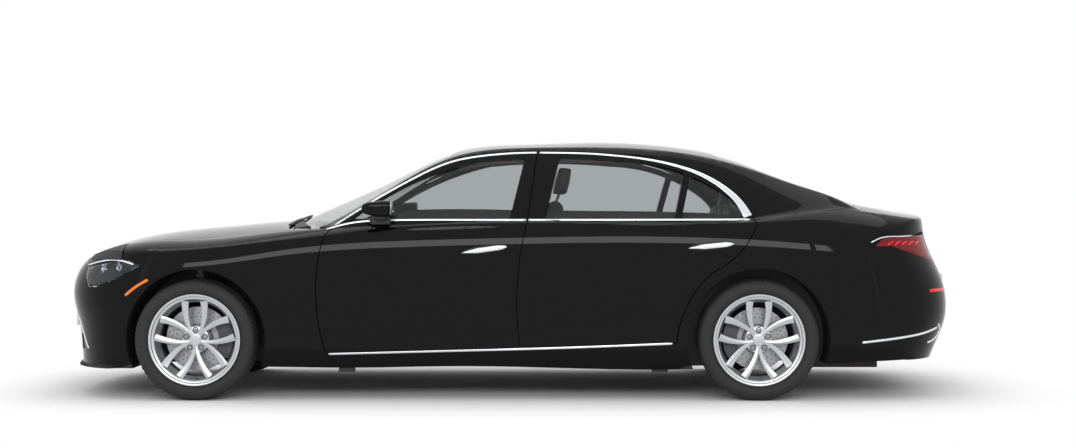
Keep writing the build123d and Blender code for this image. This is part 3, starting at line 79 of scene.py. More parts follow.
# Stations of the lower body in millimetres: X, then the inset from half the width and the height of the foot,
# the sill, the middle, the widest line, the crease and the top edge, and last the height on the middle line
BODY = [
    (FRONT - .960, 127, 175, 92, 290, 79, 470, 77, 600, 107, 640, 337, 655, 672),
    (FRONT - .731, 122, 175, 89, 290, 75, 490, 69, 640, 97, 735, 297, 778, 822),
    (FRONT - .520, 115, 175, 84, 290, 67, 520, 55, 670, 82, 805, 262, 866, 905),
    (FRONT, 97, 187, 52, 290, 29, 540, 11, 715, 47, 863, 217, 917, 981),
    (FRONT + .508, 92, 187, 47, 290, 35, 540, 22, 745, 44, 915, 177, 966, 1024),
    (FRONT + 1.175, 89, 187, 45, 290, 36, 540, 21, 780, 42, 966, 77, 1003, 1035),
    (FRONT + 1.875, 87, 187, 43, 290, 34, 540, 17, 805, 40, 989, 75, 1024, 1040),
    (REAR, 87, 187, 39, 290, 17, 540, 2, 815, 37, 994, 84, 1028, 1080),
    (REAR + .576, 97, 215, 47, 310, 22, 540, 15, 800, 62, 966, 187, 1075, 1140),
    (REAR + .905, 112, 225, 62, 320, 37, 540, 35, 780, 87, 950, 232, 1040, 1082),
    (REAR + 1.295, 127, 235, 82, 330, 62, 540, 62, 760, 127, 925, 287, 1008, 1052),
]
# The ends' plan: height, and how far the nose and the tail lie inside the car's length there, in millimetres
HULL = [
    (.120, 60, 135), (.290, 50, 68), (.440, 30, 10), (.580, 0.5, 3.8),
    (.690, 16, 30), (.800, 85, 80), (.940, 260, 132), (1.100, 420, 140),
]
# Stations of the glasshouse: X, then the foot's inset and height and the rail's inset in millimetres, and the
# rail's and the middle's height as shares of the glasshouse's
GREEN = [
    (FRONT + .376, 72, 700, 77, -0.60, -0.17),
    (FRONT + .516, 74, 780, 84, -0.40, 0.0),
    (FRONT + .776, 80, 930, 109, -0.08, 0.25),
    (FRONT + 1.126, 80, 1000, 187, 0.405, 0.582),
    (FRONT + 1.438, 80, 1015, 272, 0.753, 0.872),
    (FRONT + 1.876, 80, 1022, 327, 0.886, 0.974),
    (FRONT + 2.276, 81, 1025, 337, 0.892, 1.0),
    (REAR - .440, 84, 1027, 322, 0.829, 0.945),
    (REAR - .031, 92, 1028, 287, 0.630, 0.757),
    (REAR + .260, 115, 1030, 277, 0.420, 0.500),
    (REAR + .576, 177, 1000, 257, 0.150, 0.238),
    (REAR + .760, 217, 900, 237, -0.16, -0.03),
]


def spline(knots, values, at):
    """A natural cubic spline through the rows of values, read at many places."""
    x, y = np.asarray(knots, float), np.asarray(values, float)
    n, h = len(x), np.diff(x)
    a = np.eye(n)
    b = np.zeros_like(y)
    for i in range(1, n - 1):
        a[i, i - 1:i + 2] = h[i - 1], 2 * (h[i - 1] + h[i]), h[i]
        b[i] = 6 * ((y[i + 1] - y[i]) / h[i] - (y[i] - y[i - 1]) / h[i - 1])
    m = np.linalg.solve(a, b)
    at = np.clip(np.asarray(at, float), x[0], x[-1])
    i = np.clip(np.searchsorted(x, at) - 1, 0, n - 2)
    t, s = (at - x[i])[:, None], (x[i + 1] - at)[:, None]
    w = h[i][:, None]
    return (m[i] * s ** 3 + m[i + 1] * t ** 3) / (6 * w) + (y[i] / w - m[i] * w / 6) * s \
        + (y[i + 1] / w - m[i + 1] * w / 6) * t


def bow(a, middle, b, count):
    """A shallow curve from a to b through the middle point, sampled."""
    ta = np.linalg.norm(middle - a, axis=-1, keepdims=True)
    tb = np.linalg.norm(b - middle, axis=-1, keepdims=True)
    tm = (ta / (ta + tb))[:, None, :]
    t = np.linspace(0, 1, count)[None, :, None]
    a, middle, b = a[:, None], middle[:, None], b[:, None]
    c = (middle - a * (1 - tm) - b * tm) / (tm * (1 - tm))
    return a * (1 - t) + b * t + c * t * (1 - t)


def bulged(a, b, bulge):
    """The middle between two points, moved sideways by a bulge."""
    d = b - a
    reach = np.linalg.norm(d, axis=-1, keepdims=True)
    side = np.stack([d[:, 1], -d[:, 0]], -1) / reach
    return (a + b) / 2 + side * bulge


def body_outline(x):
    """Half the lower body's section at each x, as Y and Z from the sill up to the middle."""
    v = spline([r[0] for r in BODY], [[c * MM for c in r[1:]] for r in BODY], x)
    pts = [np.stack([HALF - v[:, i], v[:, i + 1]], -1) for i in range(0, 12, 2)]
    foot, sill, middle, widest, crease, edge = pts
    top = np.stack([0 * v[:, 12], v[:, 12]], -1)
    mirrored = edge * [-1, 1]
    roof = bow(edge, top, mirrored, 81)[:, :41]
    return np.concatenate([
        bow(foot, (foot + sill) / 2, sill, 12), bow(sill, middle, widest, 30)[:, 1:],
        bow(widest, bulged(widest, crease, 0.012), crease, 30)[:, 1:],
        bow(crease, bulged(crease, edge, 0.010), edge, 20)[:, 1:], roof[:, 1:]], axis=1)


def upper_outline(x):
    """Half the glasshouse's section at each x."""
    v = spline([r[0] for r in GREEN], [[r[1] * MM, r[2] * MM, r[3] * MM, r[4], r[5]] for r in GREEN], x)
    foot = np.stack([HALF - v[:, 0], v[:, 1]], -1)
    rail = np.stack([HALF - v[:, 2], BELT + v[:, 3] * GLASSHOUSE], -1)
    top = np.stack([0 * v[:, 4], BELT + v[:, 4] * GLASSHOUSE], -1)
    low = np.stack([foot[:, 0], 0 * foot[:, 0] + 0.5], -1)
    reach = np.linalg.norm(rail - foot, axis=-1, keepdims=True)
    side = bulged(foot, rail, 0.045 * reach)
    return np.concatenate([bow(low, (low + foot) / 2, foot, 20), bow(foot, side, rail, 50)[:, 1:],
                           bow(rail, top, rail * [-1, 1], 101)[:, 1:51]], axis=1)


def plan_outline(z, tail):
    """Half the nose's or tail's plan at each z, as distance along the car from the axle, and Y."""
    n_in = spline([r[0] for r in HULL], [[r[2 if tail else 1] * MM] for r in HULL], z)[:, 0]
    if tail:
        tip = LENGTH / 2 - REAR - n_in
        p0, p1 = (tip, 0), (tip - .050, .560)
        p2, p3 = (.690 - .6 * n_in, HALF - .041), (.450 - .6 * n_in, HALF + .223)
    else:
        tip = FRONT + LENGTH / 2 - n_in
        p0, p1 = (tip, 0), (tip - .078, .560)
        p2, p3 = (.325 - .6 * n_in, HALF - .052), (.060 - .6 * n_in, HALF + .223)
    p0, p1, p2, p3 = (np.stack([p[0] + 0 * z, p[1] + 0 * z], -1) for p in (p0, p1, p2, p3))
    # An arc through p0 and p1, an arc that leaves p1 along its tangent, and a straight line
    drop = (p0 - p1)[:, 0]
    radius = (drop ** 2 + .560 ** 2) / (2 * drop)
    half = np.arcsin(.560 / radius)
    t = np.linspace(0, 1, 40)[None, :]
    ang = half[:, None] * t
    arc = np.stack([p0[:, :1] - radius[:, None] * (1 - np.cos(ang)), radius[:, None] * np.sin(ang)], -1)
    tangent = np.stack([-np.sin(half), np.cos(half)], -1)
    chord = p2 - p1
    c2 = (chord ** 2).sum(-1)
    normal = np.stack([-tangent[:, 1], tangent[:, 0]], -1)
    r2 = c2 / (2 * (chord * normal).sum(-1))
    centre = p1 + normal * r2[:, None]
    turn = 2 * np.arcsin(np.sqrt(c2) / (2 * np.abs(r2)))
    ang = turn[:, None] * t
    rel = (p1 - centre)[:, None]
    c, s = np.cos(ang), np.sin(ang)
    turned = [rel[..., 0] * c - rel[..., 1] * s, rel[..., 0] * s + rel[..., 1] * c]
    second = centre[:, None] + np.stack(turned, -1)
    third = p2[:, None] * (1 - t[..., None]) + p3[:, None] * t[..., None]
    return np.concatenate([arc, second[:, 1:], third[:, 1:]], axis=1)


def polar_table(outlines, centre, angles):
    """Each outline's distance from a centre, at even angles."""
    rows = []
    for line in outlines:
        d = line - centre
        a = np.arctan2(d[:, 1], d[:, 0])
        r = np.hypot(d[:, 0], d[:, 1])
        order = np.argsort(a)
        rows.append(np.interp(angles, a[order], r[order]))
    return np.array(rows)


class Field:
    """A smooth table of values over two even axes, read by cubic interpolation."""

    def __init__(self, u, v, table):
        self.u0, self.du, self.nu = u[0], u[1] - u[0], len(u)
        self.v0, self.dv, self.nv = v[0], v[1] - v[0], len(v)
        self.table = np.pad(table, 2, mode="edge")

    def __call__(self, u, v):
        fu = np.clip((u - self.u0) / self.du, 0, self.nu - 1.0001)
        fv = np.clip((v - self.v0) / self.dv, 0, self.nv - 1.0001)
        iu, iv = fu.astype(int), fv.astype(int)
        tu, tv = fu - iu, fv - iv
        wu, wv = self.weights(tu), self.weights(tv)
        total = 0.0
        for a in range(4):
            row = 0.0
            for b in range(4):
                row = row + wv[b] * self.table[iu + a + 1, iv + b + 1]
            total = total + wu[a] * row
        return total

    @staticmethod
    def weights(t):
        """Cubic B-spline weights, which also round a crease off a little."""
        return ((1 - t) ** 3 / 6, (3 * t ** 3 - 6 * t ** 2 + 4) / 6,
                (-3 * t ** 3 + 3 * t ** 2 + 3 * t + 1) / 6, t ** 3 / 6)


# The skin as four tables of distance from a centre, by place along the car and by angle
X_STEPS = np.linspace(-LENGTH / 2, LENGTH / 2, 530)
GX = np.linspace(GREEN[0][0], GREEN[-1][0], 300)
PHI = np.linspace(-np.pi / 2, np.pi / 2, 420)
Z_STEPS = np.linspace(0.12, 1.10, 120)
THETA = np.linspace(0, np.pi / 2 + 0.2, 240)
body_field = Field(X_STEPS, PHI, polar_table(body_outline(X_STEPS), [0, CORE_Z], PHI))
upper_field = Field(GX, PHI, polar_table(upper_outline(GX), [0, CORE_Z], PHI))
nose_field = Field(Z_STEPS, THETA, polar_table(plan_outline(Z_STEPS, False), [0, 0], THETA))
tail_field = Field(Z_STEPS, THETA, polar_table(plan_outline(Z_STEPS, True), [0, 0], THETA))


def smooth_max(a, b, k):
    """The larger of two values, rounded over a width where they cross."""
    return 0.5 * (a + b + np.sqrt((a - b) ** 2 + k * k))


END_ROUND = 0.022


def blend_at(x):
    """How softly the glasshouse runs into the body: sharp at the cowl, soft at the rear deck."""
    t = np.clip((x - (REAR - 0.35)) / 0.5, 0, 1)
    return 0.004 + 0.030 * t * t * (3 - 2 * t)


def outside(p):
    """About how far each point is outside the car's skin; below zero is inside."""
    x, y, z = p[..., 0], np.abs(p[..., 1]), p[..., 2]
    r, phi = np.hypot(y, z - CORE_Z), np.arctan2(z - CORE_Z, y)
    body = r - body_field(x, phi)
    ahead, behind = FRONT - x, x - REAR
    nose = np.hypot(ahead, y) - nose_field(z, np.arctan2(y, ahead))
    tail = np.hypot(behind, y) - tail_field(z, np.arctan2(y, behind))
    end = np.where(ahead > 0.10, nose, np.where(behind > 0.30, tail, -1.0))
    lower = smooth_max(body, end, END_ROUND)
    lower = np.where(end <= -0.9, body, lower)
    upper = np.where((x > GREEN[0][0]) & (x < GREEN[-1][0]), r - upper_field(x, phi), 1.0)
    return -smooth_max(-lower, -upper, blend_at(x))


def cast(origins, directions, reach=3.2, steps=36):
    """The last crossing of the skin along each ray that starts inside the car."""
    low = np.zeros(len(origins))
    high = np.full(len(origins), reach)
    for _ in range(steps):
        mid = (low + high) / 2
        inside = outside(origins + directions * mid[:, None]) < 0
        low = np.where(inside, mid, low)
        high = np.where(inside, high, mid)
    points = origins + directions * low[:, None]
    return points, high < reach - 0.01


def normals(p, step=0.003):
    """The skin's outward directions near the points."""
    g = []
    for axis in range(3):
        d = np.zeros(3)
        d[axis] = step
        g.append(outside(p + d) - outside(p - d))
    n = np.stack(g, -1)
    return n / np.linalg.norm(n, axis=-1, keepdims=True)


# Mesh making

def refine(points, tris, tags, limit):
    """Splits long edges of tagged triangles, and of their neighbours, until none is over the limit."""
    for _ in range(9):
        ends = np.sort(tris[:, [0, 1, 1, 2, 2, 0]].reshape(-1, 2), axis=1)
        length = np.linalg.norm(points[ends[:, 0]] - points[ends[:, 1]], axis=1)
        wanted = (length > limit) & np.repeat(tags > 0, 3)
        unique, place = np.unique(ends, axis=0, return_inverse=True)
        place = place.reshape(-1)
        cut = np.zeros(len(unique), bool)
        cut[place[wanted]] = True
        if not cut.any():
            break
        number = np.cumsum(cut) - 1 + len(points)
        points = np.vstack([points, (points[unique[cut, 0]] + points[unique[cut, 1]]) / 2])
        middle = number[place].reshape(-1, 3)
        flag = cut[place].reshape(-1, 3)
        a, b, c = tris.T
        p, q, r = middle.T
        code = flag @ np.array([1, 2, 4])
        patterns = {
            0: [(a, b, c)],
            1: [(a, p, c), (p, b, c)],
            2: [(a, b, q), (a, q, c)],
            4: [(a, b, r), (r, b, c)],
            3: [(p, b, q), (a, p, q), (a, q, c)],
            6: [(q, c, r), (a, b, q), (a, q, r)],
            5: [(a, p, r), (p, b, c), (p, c, r)],
            7: [(a, p, r), (p, b, q), (r, q, c), (p, q, r)],
        }
        new_tris, new_tags = [], []
        for key, pieces in patterns.items():
            rows = code == key
            for piece in pieces:
                new_tris.append(np.stack([column[rows] for column in piece], -1))
                new_tags.append(tags[rows])
        tris, tags = np.vstack(new_tris), np.concatenate(new_tags)
    return points, tris, tags


def make(name, points, faces, materials, body, face_slots=None, loop_normals=None, smooth=True):
    """A mesh piece that rides on a body."""
    mesh = bpy.data.meshes.new(name)
    mesh.from_pydata([tuple(map(float, p)) for p in points], [], [tuple(map(int, f)) for f in faces])
    for material in materials:
        mesh.materials.append(material)
    if face_slots is not None:
        mesh.polygons.foreach_set("material_index", np.asarray(face_slots, np.int32))
    mesh.polygons.foreach_set("use_smooth", np.full(len(mesh.polygons), smooth))
    if loop_normals is not None:
        mesh.normals_split_custom_set([tuple(map(float, n)) for n in loop_normals])
    mesh.update()
    piece = bpy.data.objects.new(name, mesh)
    bpy.context.scene.collection.objects.link(piece)
    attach(piece, body)
    return piece


def body_of(node):
    return frame["nodes"][node]["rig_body"]


def node_mesh(node):
    """A CAD node's welded triangles."""
    bm = bmesh.new()
    bm.from_mesh(frame["nodes"][node].data)
    bmesh.ops.remove_doubles(bm, verts=bm.verts, dist=1e-5)
    bmesh.ops.triangulate(bm, faces=bm.faces)
    bm.verts.index_update()
    points = np.array([v.co for v in bm.verts])
    tris = np.array([[v.index for v in f.verts] for f in bm.faces])
    bm.free()
    return points, tris


def face_normals(points, tris):
    """Each triangle's direction."""
    n = np.cross(points[tris[:, 1]] - points[tris[:, 0]], points[tris[:, 2]] - points[tris[:, 0]])
    return n / np.maximum(np.linalg.norm(n, axis=1, keepdims=True), 1e-12)


# Faces this near the skin are drawn onto it, with edges no longer than this, above the underside
SKIN_REACH = 0.026
SKIN_EDGE = 0.035
UNDERSIDE = 0.19


def skin_faces(points, tris, depth, sign):
    """Which triangles lie along the car's skin, or along a layer a little under it."""
    middle = points[tris].mean(axis=1)
    close = np.abs(outside(points) + depth) < SKIN_REACH
    along = (face_normals(points, tris) * normals(middle)).sum(axis=1) * sign
    return close[tris].all(axis=1) & (along > 0.6) & (middle[:, 2] > UNDERSIDE)


def drawn(p, depth=0.0):
    """Points moved onto the skin, or onto a layer under it."""
    for _ in range(3):
        p = p - normals(p) * (outside(p) + depth)[:, None]
    return p


def dressed(node, name, materials, layers=((0.0, 1),)):
    """A panel like the CAD node's, with its faces along the skin drawn onto the smooth surface."""
    points, tris = node_mesh(node)
    tags = np.zeros(len(tris), int)
    for i, (depth, sign) in enumerate(layers):
        tags[skin_faces(points, tris, depth, sign)] = i + 1
    points, tris, tags = refine(points, tris, tags, SKIN_EDGE)
    shading = np.repeat(face_normals(points, tris), 3, axis=0)
    for i, (depth, sign) in enumerate(layers):
        used = np.unique(tris[tags == i + 1])
        if not len(used):
            continue
        points[used] = drawn(points[used], depth)
        n = np.zeros_like(points)
        n[used] = normals(points[used]) * sign
        rows = np.repeat(tags == i + 1, 3)
        shading[rows] = n[tris.reshape(-1)[rows]]
    slots = np.where(tags > 0, 0, 1)
    piece = make(name, points, tris, materials, body_of(node), slots, shading)
    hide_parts(node)
    return piece


def on_skin(starts, direction):
    """Where rays in one direction leave the skin, with the outward directions there."""
    p, _ = cast(np.asarray(starts, float), np.array([direction], float))
    return p, normals(p)


def on_side(points, side):
    """Where a side view's X and Z fall on the skin."""
    return on_skin([(x, 0, z) for x, z in points], (0, side, 0))


def on_end(points, end):
    """Where a front or rear view's Y and Z fall on the skin."""
    return on_skin([(FRONT if end < 0 else REAR, y, z) for y, z in points], (end, 0, 0))


def on_top(points):
    """Where a plan view's X and Y fall on the skin."""
    return on_skin([(x, y, 0.6) for x, y in points], (0, 0, 1))


def smooth_line(points, step=0.02):
    """Even points along a smooth curve through the given ones."""
    points = np.asarray(points, float)
    run = np.concatenate([[0], np.cumsum(np.linalg.norm(np.diff(points, axis=0), axis=1))])
    count = max(3, int(run[-1] / step) + 1)
    return spline(run, points, np.linspace(0, run[-1], count))


def facing(axis):
    """The turn that carries +Y onto an axis."""
    return np.array(Vector((0, 1, 0)).rotation_difference(Vector(axis).normalized()).to_matrix()).T


def unit(v):
    """Vectors at length 1."""
    return v / np.maximum(np.linalg.norm(v, axis=-1, keepdims=True), 1e-12)


def tube_faces(rings, size, closed=False):
    """The faces between rings of points, capped at both ends unless the rings close up."""
    faces = []
    for i in range(rings if closed else rings - 1):
        a, b = i * size, ((i + 1) % rings) * size
        for j in range(size):
            k = (j + 1) % size
            faces.append((a + j, b + j, b + k, a + k))
    if not closed:
        faces.append(tuple(range(size)))
        faces.append(tuple(range((rings - 1) * size, rings * size))[::-1])
    return faces


def strip(name, path, out, width, proud, material, body, sink=0.003):
    """A domed strip along a line on the skin."""
    along = unit(np.gradient(path, axis=0))
    across = unit(np.cross(along, out))
    out = np.cross(across, along)
    width = np.broadcast_to(width, len(path))
    turn = np.linspace(0, np.pi, 9)
    profile = [(math.cos(t), math.sin(t) ** 0.6) for t in turn] + [(-0.96, None), (0.96, None)]
    rings = []
    for c, s in profile:
        lift = -sink if s is None else proud * s
        rings.append(path + across * (c * width / 2)[:, None] + out * lift)
    points = np.stack(rings, axis=1).reshape(-1, 3)
    return make(name, points, tube_faces(len(path), len(profile)), [material], body)


def side_strip(name, line, width, proud, material, body_name, step=0.02):
    """The same strip on both of the car's sides, from a side view's X and Z."""
    for side_name, side in SIDES.items():
        path, out = on_side(smooth_line(line, step), side)
        if callable(width):
            wide = width(np.linspace(0, 1, len(path)))
        else:
            wide = width
        body = body_name.format(side=side_name)
        strip(name + "_" + side_name, path, out, wide, proud, material, body)


def lathe(profile, centre, segments, twist=None):
    """Points and faces of a closed outline of radius and distance outboard, turned about a line along Y."""
    profile = np.asarray(profile, float)
    angle = np.linspace(0, 2 * np.pi, segments, endpoint=False)
    radius = np.broadcast_to(profile[None, :, 0], (segments, len(profile))).copy()
    if twist is not None:
        radius += twist(angle[:, None], profile[None, :, 1])
    x = centre[0] + radius * np.cos(angle)[:, None]
    z = centre[2] + radius * np.sin(angle)[:, None]
    y = np.broadcast_to(centre[1] + profile[None, :, 1], x.shape)
    points = np.stack([x, y, z], -1).reshape(-1, 3)
    return points, tube_faces(segments, len(profile), closed=True)


def merged(parts):
    """Several sets of points and faces as one, with a material slot for each."""
    points, faces, slots, base = [], [], [], 0
    for p, f, slot in parts:
        points.append(np.asarray(p))
        faces += [tuple(i + base for i in face) for face in f]
        slots += [slot] * len(f)
        base += len(p)
    return np.vstack(points), faces, slots


def soften(piece, angle=35):
    """Smooth shading over gentle edges and crisp shading over sharp ones."""
    with bpy.context.temp_override(object=piece, active_object=piece, selected_objects=[piece],
                                   selected_editable_objects=[piece]):
        bpy.ops.object.shade_smooth_by_angle(angle=math.radians(angle))


# Materials

def shader_node(tree, kind, operation=None, **values):
    """A new node of a tree, with its operation and the values of its sockets."""
    node = tree.nodes.new("ShaderNode" + kind)
    if operation:
        node.operation = operation
    set_sockets(node, values)
    return node


def set_sockets(node, values):
    for key, value in values.items():
        node.inputs[key.replace("_", " ")].default_value = value


def material(name, colour, roughness, metallic=0.0, grain=None, bump=None, **sockets):
    """A procedural finish: grain is (scale, low, high) of its roughness, bump is (scale, depth in metres).

    A third value in bump makes it cells, as in leather."""
    mat = bpy.data.materials.new(name)
    mat.use_nodes = True
    tree = mat.node_tree
    link = tree.links.new
    shader = tree.nodes["Principled BSDF"]
    set_sockets(shader, {"Base Color": (*colour, 1.0), "Roughness": roughness, "Metallic": metallic})
    set_sockets(shader, sockets)
    place = shader_node(tree, "TexCoord").outputs["Object"]
    if grain:
        scale, low, high = grain
        noise = shader_node(tree, "TexNoise", Scale=scale, Detail=4)
        spread = shader_node(tree, "MapRange", To_Min=low, To_Max=high)
        link(place, noise.inputs["Vector"])
        link(noise.outputs["Fac"], spread.inputs["Value"])
        link(spread.outputs["Result"], shader.inputs["Roughness"])
    if bump:
        relief = shader_node(tree, "TexVoronoi" if len(bump) > 2 else "TexNoise", Scale=bump[0])
        lift = shader_node(tree, "Bump", Distance=bump[1], Strength=0.6)
        link(place, relief.inputs["Vector"])
        link(relief.outputs[0], lift.inputs["Height"])
        link(lift.outputs["Normal"], shader.inputs["Normal"])
    return mat


PAINT = material("gloss_black_paint", (0.002, 0.002, 0.0023), 0.05, grain=(9, 0.03, 0.055), IOR=1.25)
GLOSS_TRIM = material("gloss_black_trim", (0.004, 0.004, 0.004), 0.10, grain=(40, 0.07, 0.14), IOR=1.35)
SATIN = material("satin_black_seams", (0.012, 0.012, 0.013), 0.55, grain=(60, 0.45, 0.7), bump=(220, 0.0004))
PLASTIC = material("moulded_black_plastic", (0.016, 0.016, 0.017), 0.5, grain=(90, 0.4, 0.62),
                   bump=(700, 0.0005))
CHROME = material("bright_trim", (0.78, 0.79, 0.81), 0.12, 1.0, grain=(50, 0.08, 0.16))
ALLOY = material("silver_wheel", (0.52, 0.525, 0.54), 0.3, 0.85, grain=(120, 0.24, 0.36), bump=(900, 0.0001))
RUBBER = material("tyre_rubber", (0.013, 0.013, 0.014), 0.75, grain=(70, 0.62, 0.85), bump=(500, 0.0006))
STEEL = material("dull_steel", (0.30, 0.30, 0.31), 0.4, 0.9, grain=(60, 0.3, 0.55), bump=(300, 0.0003))
ROTOR = material("brake_disc", (0.33, 0.33, 0.34), 0.35, 0.95, grain=(180, 0.25, 0.5), bump=(600, 0.0002))
CAST = material("cast_metal", (0.10, 0.10, 0.11), 0.6, 0.6, grain=(80, 0.5, 0.75), bump=(240, 0.0008))
GLASS = material("tinted_glass", (0.60, 0.62, 0.62), 0.0, grain=(6, 0.0, 0.02), Transmission_Weight=1.0,
                 IOR=1.33)
SCREEN = material("screen_glass", (0.70, 0.73, 0.72), 0.0, grain=(6, 0.0, 0.02), Transmission_Weight=1.0,
                  IOR=1.33)
LENS = material("clear_lens", (0.90, 0.92, 0.94), 0.02, grain=(30, 0.0, 0.04), Transmission_Weight=1.0,
                IOR=1.3)
RED_LENS = material("red_lens", (0.26, 0.004, 0.008), 0.06, grain=(50, 0.03, 0.09), bump=(300, 0.0002),
                    Transmission_Weight=0.35, IOR=1.35)
RED_GLOW = material("red_lamp_element", (0.80, 0.012, 0.02), 0.2, grain=(80, 0.15, 0.3), bump=(400, 0.0004))
AMBER = material("amber_marker", (0.80, 0.20, 0.02), 0.15, grain=(80, 0.1, 0.2), bump=(400, 0.0004))
REFLECTOR = material("lamp_reflector", (0.55, 0.57, 0.60), 0.15, 0.9, grain=(90, 0.1, 0.3))
LAMP_WHITE = material("lamp_light_guide", (0.82, 0.86, 0.90), 0.2, grain=(70, 0.15, 0.3))
LEATHER = material("black_leather", (0.020, 0.019, 0.019), 0.5, grain=(140, 0.38, 0.6),
                   bump=(260, 0.0009, "cells"))
# Painted shade: the exhaust under the car is coloured much darker than bare steel
EXHAUST_SHADE_STEEL = material("shaded_exhaust_steel", (0.045, 0.042, 0.040), 0.6, 0.7, grain=(60, 0.5, 0.75),
                bump=(300, 0.0004))
PLATE = material("blank_plate", (0.74, 0.74, 0.73), 0.45, grain=(60, 0.35, 0.5), bump=(200, 0.0002))
FINISH_OF_SLOT = {
    "paint": PAINT, "structure": SATIN, "chrome": CHROME, "glass": GLASS, "lamp_glass": LENS,
    "red_glass": RED_LENS, "alloy": ALLOY, "tyre": RUBBER, "cast": CAST, "steel": STEEL,
    "black_plastic": PLASTIC, "leather": LEATHER,
}
for part in frame["record"]["subparts"]:
    mesh = frame["nodes"][part["node"]].data
    mesh.materials.clear()
    # The exhaust takes the darker steel, painted shade under the car
    mesh.materials.append(EXHAUST_SHADE_STEEL if part["node"] == "exhaust" else FINISH_OF_SLOT[part["material_slot"]])


# Painted panels, glass and lamp covers

PANELS = ["hood", "trunk_lid", "front_fenders", "front_bumper", "rear_bumper", "roof", "rear_structure"]
PANELS += [part + "_" + side for part in ("side", "door_front", "door_rear") for side in SIDES]
for node in PANELS:
    dressed(node, node + "_paint", [PAINT, SATIN])
PANES = [("windshield", SCREEN), ("rear_window", SCREEN)]
PANES += [("glass_" + row + "_" + side, GLASS) for row in ("front", "rear") for side in SIDES]
for node, finish in PANES:
    dressed(node, node + "_pane", [finish, finish], [(GLASS_DEPTH, 1), (GLASS_DEPTH + GLASS_THICK, -1)])
dressed("grille", "grille_bars", [CHROME, SATIN])


# Bright trim

def cut_line(line, x_from, x_to):
    """The stretch of a side line between two X values."""
    line = smooth_line(line, 0.004)
    return line[(line[:, 0] > x_from) & (line[:, 0] < x_to)]


def widening(t):
    """The upper window line's width, which grows into a wedge at its rear end."""
    return 0.012 + 0.042 * t ** 4


# Side lines as X and Z, measured in the photo
BELT_LINE = [(-1.030, 0.975), (-0.900, 1.009), (-0.700, 1.026), (-0.300, 1.029), (0.400, 1.029),
             (1.000, 1.030), (1.395, 1.031)]
ROOF_LINE = [(-1.000, 0.988), (-0.901, 1.052), (-0.734, 1.157), (-0.529, 1.273), (-0.338, 1.360),
             (-0.145, 1.400), (0.080, 1.418), (0.300, 1.419), (0.462, 1.415), (0.658, 1.400), (0.852, 1.374),
             (0.995, 1.340), (1.138, 1.286), (1.277, 1.194), (1.345, 1.120), (1.384, 1.048)]
SILL_LINE = [(-1.015, 0.264), (-0.300, 0.283), (0.307, 0.300), (0.949, 0.325)]
BUMPER_LINE = [(2.030, 0.330), (2.150, 0.343), (2.300, 0.362), (2.420, 0.382), (2.500, 0.404)]
OUTLET_LINE = [(2.508, 0.423), (2.524, 0.390), (2.505, 0.350), (2.436, 0.319)]
INTAKE_LINE = [(-2.514, 0.458), (-2.480, 0.380), (-2.446, 0.302), (-2.435, 0.280)]
LAMP_LINE = [(2.080, 0.900), (2.140, 0.926), (2.250, 0.934), (2.340, 0.938)]
GUIDE_LINE = [(-2.440, 0.766), (-2.330, 0.792), (-2.215, 0.797), (-2.130, 0.775)]
MARKER_LINE = [(-2.176, 0.598), (-2.135, 0.632), (-2.090, 0.662), (-2.040, 0.688)]
REFLECTOR_LINE = [(2.440, 0.620), (2.520, 0.622), (2.590, 0.618)]
TRIM_GAP = 0.005
B_BELT = B_SHUT + 0.060
B_TOP = B_SHUT + 0.122
AHEAD, BEHIND = -2, 2
FRONT_DOOR, REAR_DOOR = "door_front_{side}", "door_rear_{side}"
# Columns: name, line, width, how far it stands proud, finish, body and step along the line
LINES = [
    ("belt_trim_front", cut_line(BELT_LINE, AHEAD, B_BELT - TRIM_GAP), .011, .003, CHROME, FRONT_DOOR, .02),
    ("belt_trim_rear", cut_line(BELT_LINE, B_BELT + TRIM_GAP, BEHIND), .011, .003, CHROME, REAR_DOOR, .02),
    ("window_trim_front", cut_line(ROOF_LINE, -0.985, B_TOP - TRIM_GAP), .012, .004, CHROME, FRONT_DOOR, .02),
    ("window_trim_rear", cut_line(ROOF_LINE, B_TOP + TRIM_GAP, BEHIND), widening, .004, CHROME, REAR_DOOR,
     .02),
    ("sill_trim", cut_line(SILL_LINE, AHEAD, BEHIND), .013, .004, CHROME, "root", .02),
    ("bumper_trim", BUMPER_LINE, .014, .004, CHROME, "root", .02),
    ("outlet_trim", OUTLET_LINE, .012, .004, CHROME, "root", .01),
    ("intake_trim", INTAKE_LINE, .012, .004, CHROME, "root", .01),
    ("amber_marker", MARKER_LINE, .016, .003, AMBER, "root", .02),
    ("rear_reflector", REFLECTOR_LINE, .018, .003, RED_GLOW, "root", .02),
    ("headlamp_guide", GUIDE_LINE, .009, .001, LAMP_WHITE, "root", .02),
    ("tail_lamp_trim", LAMP_LINE, .007, .003, CHROME, "root", .02),
]
for row in LINES:
    side_strip(*row)
for i in range(5):
    x = 2.18 + i * 0.045
    line = [(x, .885), (x + .014, .897), (x + .034, .905)]
    side_strip(f"tail_lamp_element_{i}", line, .010, .001, RED_GLOW, "root", .006)


# Door handles: bright bars with a pointed front end, over shallow cups

def cup_width(t):
    return 0.046 * np.sin(np.pi * np.clip(t, .03, .97)) ** 0.35


def handle_width(t):
    return 0.030 * (0.15 + 0.85 * np.clip(t * 3, 0, 1)) * np.clip((1 - t) * 9, 0.35, 1)


HANDLES = {"front": ((-0.251, 0.842), (0.004, 0.877)), "rear": ((1.036, 0.868), (1.292, 0.893))}
for row, (start, end) in HANDLES.items():
    line = [start, ((start[0] + end[0]) / 2, (start[1] + end[1]) / 2), end]
    door = "door_" + row + "_{side}"
    side_strip("handle_cup_" + row, line, cup_width, 0.0015, GLOSS_TRIM, door)
    side_strip("handle_" + row, line, handle_width, 0.011, CHROME, door)


# Wheels: ten spokes in five narrow V shapes on a turned barrel, with the disc behind them

